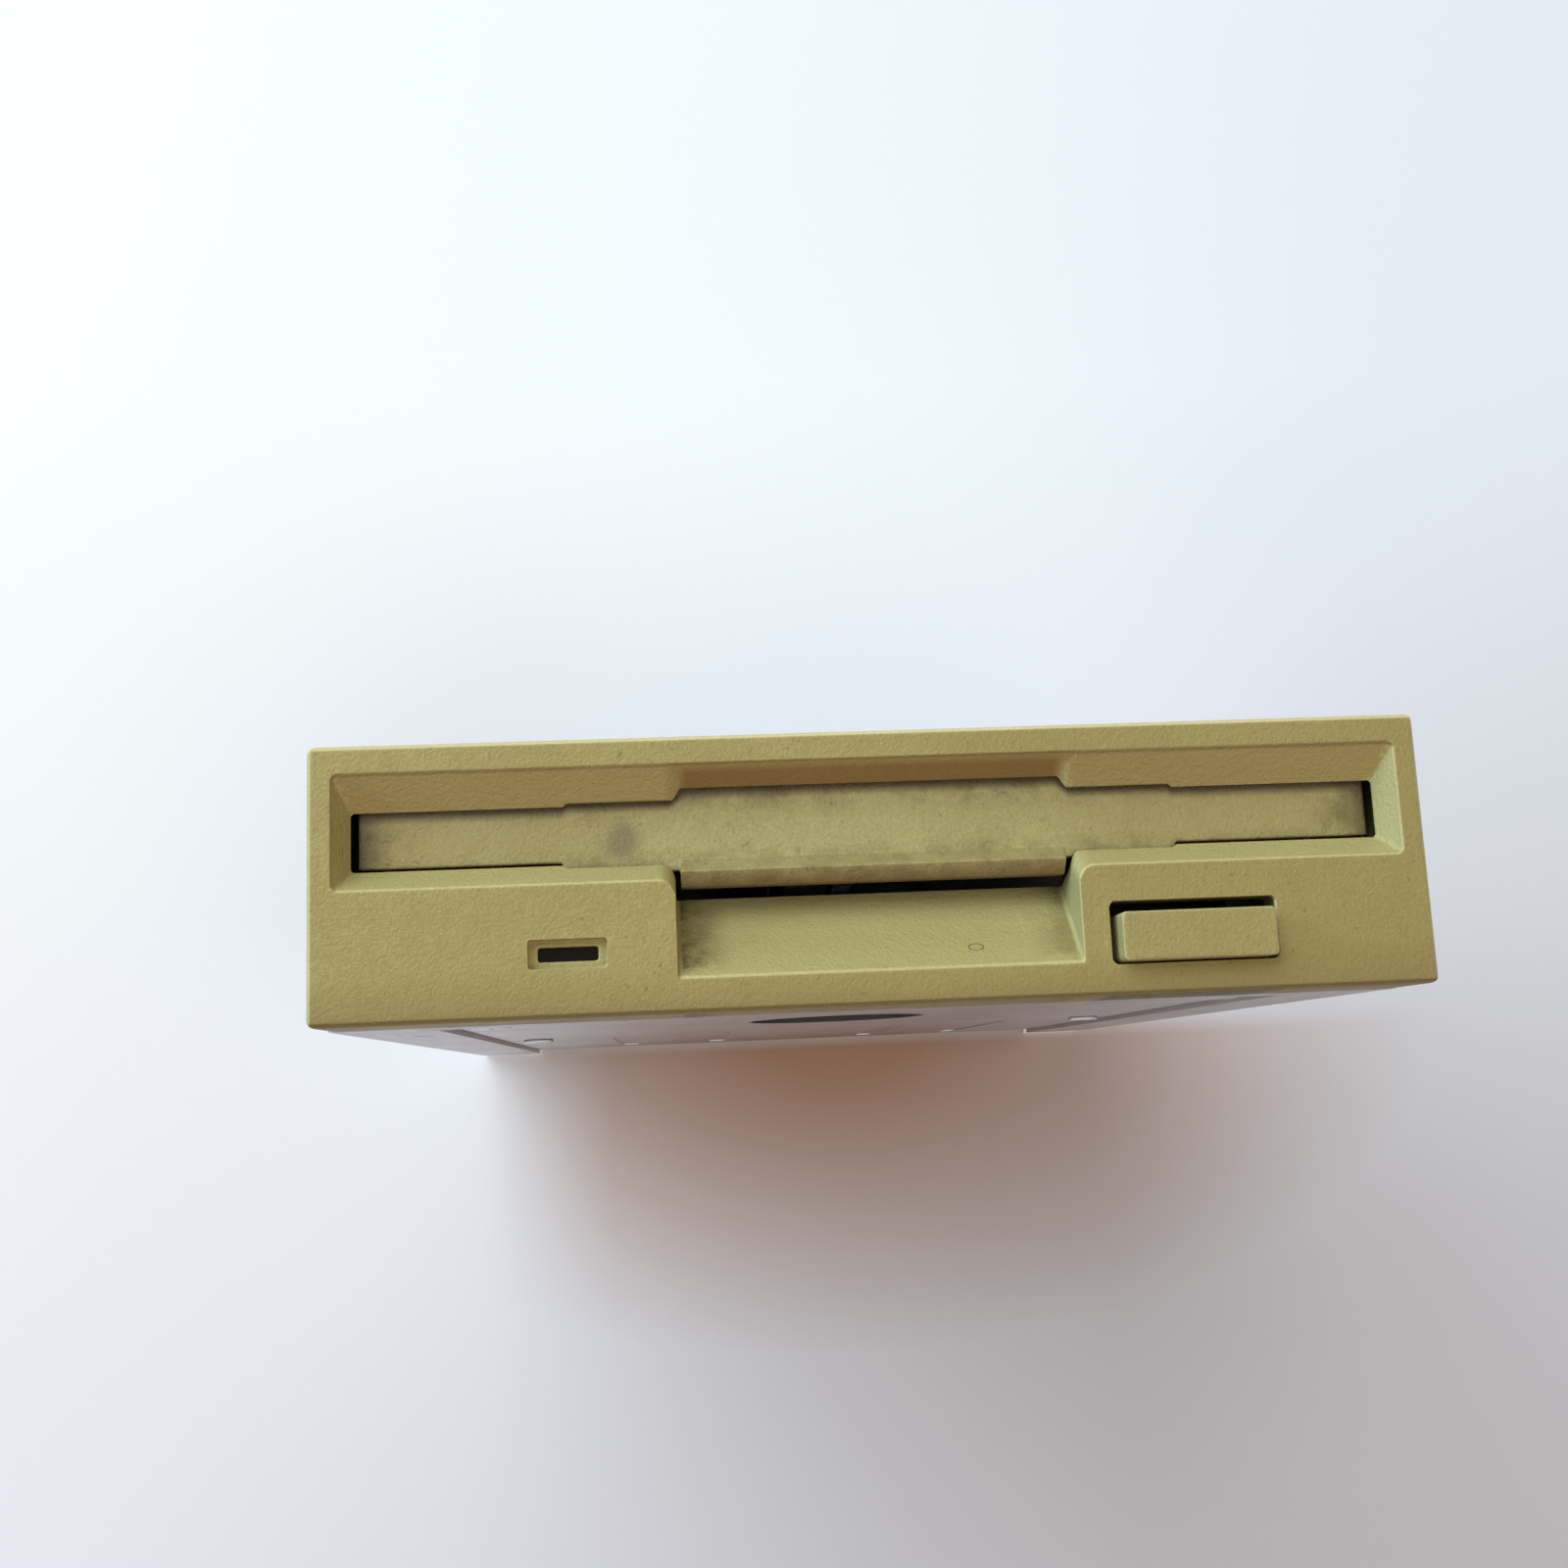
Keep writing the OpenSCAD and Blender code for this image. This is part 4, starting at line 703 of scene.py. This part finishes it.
def wound(name, main):
    """Close-wound spring wire."""
    look = Finish(name)
    along = look.worked("ADD", look.axis("Y"), look.axis("X"))
    ridge = look.worked("PINGPONG", look.product(along, 2.0 / MM), 0.5)
    tarnish = look.spread(look.noise(260, 4), 0.4, 0.75)
    valley_shade_and_tarnish = look.worked("MAXIMUM", look.spread(ridge, 0.2, 0.02), look.product(tarnish, 0.3))
    return ridged_steel(look, (main, scaled(main, 0.3)), ridge, valley_shade_and_tarnish, 0.25 * MM, 0.26)


def deselect():
    """Leaves nothing selected."""
    if bpy.context.object and bpy.context.object.mode != "OBJECT":
        bpy.ops.object.mode_set(mode="OBJECT")
    bpy.ops.object.select_all(action="DESELECT")


def take(piece):
    """Makes one piece the active, selected one."""
    deselect()
    bpy.context.view_layer.objects.active = piece
    piece.select_set(True)
    return piece


def copied(node, name):
    """A merged copy of a node's solid, with its flat faces joined."""
    piece = bpy.data.objects.new(name, NODES[node].data.copy())
    bpy.context.collection.objects.link(piece)
    take(piece)
    bpy.ops.mesh.customdata_custom_splitnormals_clear()
    bpy.ops.object.mode_set(mode="EDIT")
    bpy.ops.mesh.select_all(action="SELECT")
    bpy.ops.mesh.remove_doubles(threshold=MERGE_REACH)
    bpy.ops.mesh.dissolve_limited(angle_limit=FLAT_ANGLE)
    bpy.ops.object.mode_set(mode="OBJECT")
    return piece


def flattened(piece):
    """Shades a piece smoothly, with its flats kept flat."""
    bpy.ops.object.shade_smooth_by_angle(angle=SMOOTH_ANGLE)
    weighted = piece.modifiers.new("flats", "WEIGHTED_NORMAL")
    weighted.keep_sharp = True
    weighted.weight = 100
    bpy.ops.object.modifier_apply(modifier=weighted.name)
    return piece


def rounded(piece, width, segments=2, angle=SHEET_ANGLE):
    """Rounds a piece's sharp edges alike, as far as its shortest edges let it."""
    take(piece)
    bevel = piece.modifiers.new("edges", "BEVEL")
    bevel.width = width
    bevel.segments = segments
    bevel.limit_method = "ANGLE"
    bevel.angle_limit = angle
    bpy.ops.object.modifier_apply(modifier=bevel.name)
    return flattened(piece)


def moulded(piece, fineness, passes, kept):
    """Softens every edge of a moulded piece: meshed finely, eased, then thinned to a share of its faces."""
    take(piece)
    fine = piece.modifiers.new("fine", "REMESH")
    fine.mode = "VOXEL"
    fine.voxel_size = fineness
    bpy.ops.object.modifier_apply(modifier=fine.name)
    eased = piece.modifiers.new("eased", "SMOOTH")
    eased.factor = 0.5
    eased.iterations = passes
    bpy.ops.object.modifier_apply(modifier=eased.name)
    thinned = piece.modifiers.new("thinned", "DECIMATE")
    thinned.ratio = kept
    bpy.ops.object.modifier_apply(modifier=thinned.name)
    return flattened(piece)


def stand_for(piece, node, body, material):
    """Puts a finished piece in the place of its node."""
    piece.data.materials.clear()
    piece.data.materials.append(material)
    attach(piece, body)
    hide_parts(node)


def finish_node(name, material):
    """Gives a carried-over node its finish."""
    if not NODES[name].material_slots:
        NODES[name].data.materials.append(material)
    for slot in NODES[name].material_slots:
        slot.material = material


class DRIVE_OT_stage(bpy.types.Operator):
    """Sets up the table with its painted shade and shadow, the light and the camera"""

    bl_idname = "drive.stage"
    bl_label = "Stage"

    def shading(self, look, base):
        """Painted shade on the table, darker and cooler low, at the right and most in the lower right
        corner, with a browner painted shadow below the drive.
        """
        tints = chosen("colours")
        # Painted shade: the table darker and cooler low and at the right, most in the lower right corner
        down = look.spread(look.axis("Z"), 0.12, -0.13)
        aside = look.spread(look.axis("X"), -0.15, 0.11)
        base = look.tint(down, base, tints.table_low_shade)
        base = look.stain(base, tints.table_right_shade, 0.6, aside)
        base = look.stain(base, tints.table_corner_shade, 0.8, aside, down)
        # Painted shadow, browner, on the table below the drive
        below = look.spread(look.axis("Z"), 2 * MM, -1 * MM)
        beside = look.spread(look.axis("X"), -52 * MM, -30 * MM)
        cast = look.product(look.spot(CAST_PLACE, 6 * MM, 46 * MM, CAST_SHAPE), below, beside)
        return look.tint(cast, base, tints.warm, "MULTIPLY")

    def pale_sheet(self, name, mirrored):
        """A pale one-sided surface that shows shadows and lets all light through."""
        table = chosen("colours").table
        look = Finish(name)
        look.wire("Roughness", 0.9)
        cloud = look.spread(look.noise(6, 3), 0.3, 0.7)
        base = look.tint(cloud, table, scaled(table, 0.985))
        path = look.node("ShaderNodeLightPath")
        seen = path.outputs["Is Camera Ray"]
        if mirrored:
            base = self.shading(look, base)
            glossy = path.outputs["Is Glossy Ray"]
            mirror = look.worked("MAXIMUM", glossy, path.outputs["Is Transmission Ray"])
            far = look.worked("GREATER_THAN", path.outputs["Ray Length"], MIRROR_REACH)
            seen = look.worked("MAXIMUM", seen, look.product(mirror, far))
        look.wire("Base Color", base)
        side = look.node("ShaderNodeNewGeometry")
        front = look.worked("SUBTRACT", 1.0, side.outputs["Backfacing"])
        clear = look.node("ShaderNodeBsdfTransparent")
        mixed = look.node("ShaderNodeMixShader")
        look.feed(mixed.inputs[0], look.product(seen, front))
        look.feed(mixed.inputs[1], clear.outputs[0])
        look.feed(mixed.inputs[2], look.shader.outputs[0])
        look.feed(look.output.inputs["Surface"], mixed.outputs[0])
        return look.material

    def sheet(self, name, size, place, turn, material):
        """One flat sheet of the stage."""
        deselect()
        bpy.ops.mesh.primitive_plane_add(size=size, location=place, rotation=turn)
        made = bpy.context.object
        made.name = name
        bpy.ops.object.transform_apply()
        made.data.materials.append(material)

    def lamp(self, name, place, size, mirrored):
        """A round lamp that shines at the drive."""
        deselect()
        bpy.ops.object.light_add(type="AREA", location=place)
        made = bpy.context.object
        made.name = name
        made.data.shape = "DISK"
        made.data.size = size
        made.data.energy = getattr(chosen("stage"), name + "_power")
        made.data.color = getattr(chosen("stage"), name + "_colour")
        made.rotation_euler = (-Vector(place)).to_track_quat("-Z", "Y").to_euler()
        made.visible_glossy = mirrored

    def room(self, scene):
        """Soft light from all round, behind a white room for the camera and for mirrors."""
        stage = chosen("stage")
        world = bpy.data.worlds.new("room")
        scene.world = world
        world.use_nodes = True
        tree = world.node_tree
        light = tree.nodes["Background"]
        light.inputs["Color"].default_value = (*stage.sky_colour, 1)
        light.inputs["Strength"].default_value = stage.sky_level
        white = tree.nodes.new("ShaderNodeBackground")
        white.inputs["Color"].default_value = (*chosen("colours").table, 1)
        path = tree.nodes.new("ShaderNodeLightPath")
        seen = path.outputs["Is Camera Ray"]
        for kind in ("Is Glossy Ray", "Is Transmission Ray"):
            either = tree.nodes.new("ShaderNodeMath")
            either.operation = "MAXIMUM"
            tree.links.new(seen, either.inputs[0])
            tree.links.new(path.outputs[kind], either.inputs[1])
            seen = either.outputs[0]
        mixed = tree.nodes.new("ShaderNodeMixShader")
        tree.links.new(seen, mixed.inputs[0])
        tree.links.new(light.outputs[0], mixed.inputs[1])
        tree.links.new(white.outputs[0], mixed.inputs[2])
        tree.links.new(mixed.outputs[0], tree.nodes["World Output"].inputs["Surface"])

    def camera(self, context):
        """The camera, placed as the photo was taken."""
        stage = chosen("stage")
        camera = bpy.data.objects.new("camera", bpy.data.cameras.new("camera"))
        context.collection.objects.link(camera)
        camera.location = stage.camera_place
        camera.rotation_euler = Euler(stage.camera_turn, "XYZ")
        camera.data.lens = stage.camera_lens
        camera.data.sensor_width = SENSOR_WIDTH
        camera.data.clip_start = NEAR_LIMIT
        context.scene.camera = camera

    def execute(self, context):
        low, high = CAD_BOX
        behind = (0, high.y + BACKDROP_GAP, 0)
        upright = (math.radians(90), 0, 0)
        self.sheet("backdrop", BACKDROP_SIZE, behind, upright, self.pale_sheet("table_behind", True))
        below = (0, 0, low.z - FLOOR_GAP)
        self.sheet("floor", FLOOR_SIZE, below, (0, 0, 0), self.pale_sheet("table_below", False))
        for lamp in LAMPS:
            self.lamp(*lamp)
        self.room(context.scene)
        self.camera(context)
        context.scene.view_settings.view_transform = "Standard"
        return {"FINISHED"}


class DRIVE_OT_bezel(bpy.types.Operator):
    """Softens and ages the front bezel, and paints light and shade on it"""

    bl_idname = "drive.bezel"
    bl_label = "Bezel"

    def execute(self, context):
        sizes = chosen("sizes")
        solid = copied("front_bezel", "bezel")
        bezel = moulded(solid, sizes.bezel_mesh, sizes.front_passes, sizes.front_kept)
        material = aged_plastic_and_painted_light("aged_bezel", chosen("colours").bezel, 0.46, bezel_marks)
        stand_for(bezel, "front_bezel", "case", material)
        return {"FINISHED"}


class DRIVE_OT_door(bpy.types.Operator):
    """Softens and ages the slot door, and paints light and shade on it"""

    bl_idname = "drive.door"
    bl_label = "Slot door"

    def execute(self, context):
        sizes = chosen("sizes")
        solid = copied("slot_door", "door")
        door = moulded(solid, sizes.door_mesh, sizes.front_passes, sizes.front_kept)
        material = aged_plastic_and_painted_light("aged_door", chosen("colours").door, 0.46, door_marks)
        stand_for(door, "slot_door", "door", material)
        return {"FINISHED"}


class DRIVE_OT_button(bpy.types.Operator):
    """Softens and ages the eject button, and paints light and shade on it"""

    bl_idname = "drive.button"
    bl_label = "Eject button"

    def execute(self, context):
        sizes = chosen("sizes")
        solid = copied("eject_button", "button")
        button = moulded(solid, sizes.button_mesh, sizes.button_passes, sizes.button_kept)
        material = aged_plastic_and_painted_light("aged_button", chosen("colours").button, 0.4)
        stand_for(button, "eject_button", "slide", material)
        return {"FINISHED"}


class DRIVE_OT_sheet_metal(bpy.types.Operator):
    """Finishes the frame, cover, shield and the sheet parts inside, with a painted reflection under the
    drive and painted shade at the spindle's window
    """

    bl_idname = "drive.sheet_metal"
    bl_label = "Sheet metal"

    def execute(self, context):
        colours = chosen("colours")
        width = chosen("sizes").sheet_round
        plain = plated_sheet("plated_frame", colours.sheet, ROLLED_DEEP, frame_marks)
        below = plated_sheet("plated_shield", colours.sheet, ROLLED_ACROSS, shield_marks)
        above = plated_sheet("plated_cover", colours.sheet, ROLLED_COVER)
        shown = (
            ("main_frame", "frame", "case", "zinc", plain),
            ("top_cover", "cover", "case", "cover", above),
            ("bottom_shield", "shield", "case", "shield", below),
            ("disk_holder", "holder", "holder", "zinc", plain),
            ("upper_arm", "arm", "arm", "zinc", plain),
        )
        for node, name, body, slot, material in shown:
            stand_for(rounded(copied(node, name + "_sheet"), width), node, body, material)
        finish_node("screw_bracket", plain)
        finish_node("slide_plate", moulding("slide_coating", colours.slide, 0.6, 0.1, 0.2))
        return {"FINISHED"}


class DRIVE_OT_fixings(bpy.types.Operator):
    """Rounds the screw heads and sinks a cross recess into each"""

    bl_idname = "drive.fixings"
    bl_label = "Fixings"

    def places(self, node, head):
        """Middles of a node's four screws, from its box and the radius of their heads."""
        low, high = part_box(node)
        across = (low.x + head, high.x - head)
        along = (low.y + head, high.y - head)
        return [(x, y) for x in across for y in along]

    def crosses(self, places, level):
        """One joined cutter with a cross at each place."""
        sizes = chosen("sizes")
        deselect()
        made = []
        for number, (x, y) in enumerate(places):
            for arm in (0, 1):
                bpy.ops.mesh.primitive_cube_add(size=2, location=(x, y, level))
                bar = bpy.context.object
                bar.scale = (sizes.recess_arm, sizes.recess_half, sizes.recess_deep)
                bar.rotation_euler.z = math.radians(90) * arm + SCREW_TURN * number
                made.append(bar)
        for bar in made:
            bar.select_set(True)
        bpy.ops.object.transform_apply()
        bpy.context.view_layer.objects.active = made[0]
        bpy.ops.object.join()
        return bpy.context.object

    def recessed(self, node, head, level, material):
        """A node's screws with rounded heads and a cross recess in each."""
        solid = copied(node, node + "_heads")
        screws = rounded(solid, chosen("sizes").head_round, 3, HEAD_ANGLE)
        cutter = self.crosses(self.places(node, head), level)
        take(screws)
        cut = screws.modifiers.new("recess", "BOOLEAN")
        cut.operation = "DIFFERENCE"
        cut.solver = "EXACT"
        cut.use_self = True
        cut.object = cutter
        bpy.ops.object.modifier_apply(modifier=cut.name)
        bpy.data.objects.remove(cutter)
        stand_for(screws, node, "case", material)

    def execute(self, context):
        sizes = chosen("sizes")
        material = turned_metal("screw_steel", chosen("colours").steel, 0.3)
        self.recessed("cover_screws", sizes.cover_head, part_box("cover_screws")[1].z, material)
        self.recessed("shield_screws", sizes.shield_head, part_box("shield_screws")[0].z, material)
        finish_node("board_screws", material)
        return {"FINISHED"}


class DRIVE_OT_connectors(bpy.types.Operator):
    """Finishes the main board, its headers, pins and chips"""

    bl_idname = "drive.connectors"
    bl_label = "Board and connectors"

    def execute(self, context):
        colours = chosen("colours")
        width = chosen("sizes").moulding_round
        dark = moulding("header_moulding", colours.dark, 0.42)
        pale = moulding("socket_moulding", colours.pale, 0.4)
        chips = moulding("chip_moulding", colours.dark, 0.55)
        pins = turned_metal("pin_plating", colours.gold, 0.22)
        shown = (
            ("data_header", "header", dark),
            ("power_header", "white_plastic", pale),
            ("controller_chips", "chip", chips),
        )
        for node, slot, material in shown:
            stand_for(rounded(copied(node, node + "_body"), width), node, "case", material)
        finish_node("ribbon_socket", pale)
        finish_node("data_pins", pins)
        finish_node("power_pins", pins)
        coating = board_coating("board_coating", colours.board)
        finish_node("main_board", coating)
        finish_node("motor_board", coating)
        return {"FINISHED"}


class DRIVE_OT_works(bpy.types.Operator):
    """Finishes the spindle, the heads, the switches and the small moving pieces"""

    bl_idname = "drive.works"
    bl_label = "Works"

    def execute(self, context):
        colours = chosen("colours")
        width = chosen("sizes").moulding_round
        steel = turned_metal("ground_steel", colours.steel)
        dark = moulding("dark_moulding", colours.dark)
        pale = moulding("pale_moulding", colours.pale, 0.42)
        ferrite = moulding("ferrite", colours.magnet, 0.55)
        film = moulding("film_ribbon", colours.ribbon, 0.25)
        groups = (
            (moulding("lamp_window", colours.lamp, 0.5, 0.05, 0.04), ("activity_lamp",)),
            (turned_metal("winding_copper", colours.copper, 0.36), ("stator_coils",)),
            (turned_metal("bush_brass", colours.brass), ("spindle_bearing",)),
            (turned_metal("motor_can", colours.steel, 0.34), ("stepper_motor",)),
            (threaded("screw_thread", colours.steel), ("lead_screw",)),
            (wound("spring_wire", colours.steel), ("slide_springs", "door_spring")),
            (ferrite, ("ring_magnet", "chuck_magnet")),
            (film, ("head_ribbon", "motor_ribbon")),
            (pale, ("lower_head", "upper_head", "protect_plunger", "density_plunger", "disk_plunger")),
            (dark, ("track_sensor", "switch_block")),
            (moulding("rotor_coating", colours.rotor, 0.7, 0.1, 0.15), ("rotor_plate",)),
            (steel, ("slide_guides", "lever_pivot", "spindle_shaft", "spindle_hub", "drive_pin")),
            (steel, ("guide_rods", "arm_pivot", "follower_pin")),
        )
        for material, nodes in groups:
            for node in nodes:
                finish_node(node, material)
        for node, body in (("head_carriage", "carriage"), ("shutter_lever", "lever")):
            piece = rounded(copied(node, node + "_moulding"), width)
            stand_for(piece, node, body, dark)
        return {"FINISHED"}


class DRIVE_PT_panel(bpy.types.Panel):
    """Lists the drive's dressing steps"""

    bl_idname = "DRIVE_PT_panel"
    bl_label = "Floppy drive"
    bl_space_type = "VIEW_3D"
    bl_region_type = "UI"
    bl_category = "Drive"

    def draw(self, context):
        for step in STEPS:
            self.layout.operator(step.bl_idname)


GROUPS = {"sizes": DriveSizes, "colours": DriveColours, "stage": DriveStage}
STEPS = (
    DRIVE_OT_stage,
    DRIVE_OT_bezel,
    DRIVE_OT_door,
    DRIVE_OT_button,
    DRIVE_OT_sheet_metal,
    DRIVE_OT_fixings,
    DRIVE_OT_connectors,
    DRIVE_OT_works,
)


def register():
    for made in (*GROUPS.values(), *STEPS, DRIVE_PT_panel):
        bpy.utils.register_class(made)
    for name, group in GROUPS.items():
        setattr(bpy.types.Scene, "drive_" + name, bpy.props.PointerProperty(type=group))


def unregister():
    for name in GROUPS:
        delattr(bpy.types.Scene, "drive_" + name)
    for made in reversed((*GROUPS.values(), *STEPS, DRIVE_PT_panel)):
        bpy.utils.unregister_class(made)


def main():
    register()
    for step in STEPS:
        group, name = step.bl_idname.split(".")
        getattr(getattr(bpy.ops, group), name)()
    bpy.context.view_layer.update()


if __name__ == "__main__":
    main()
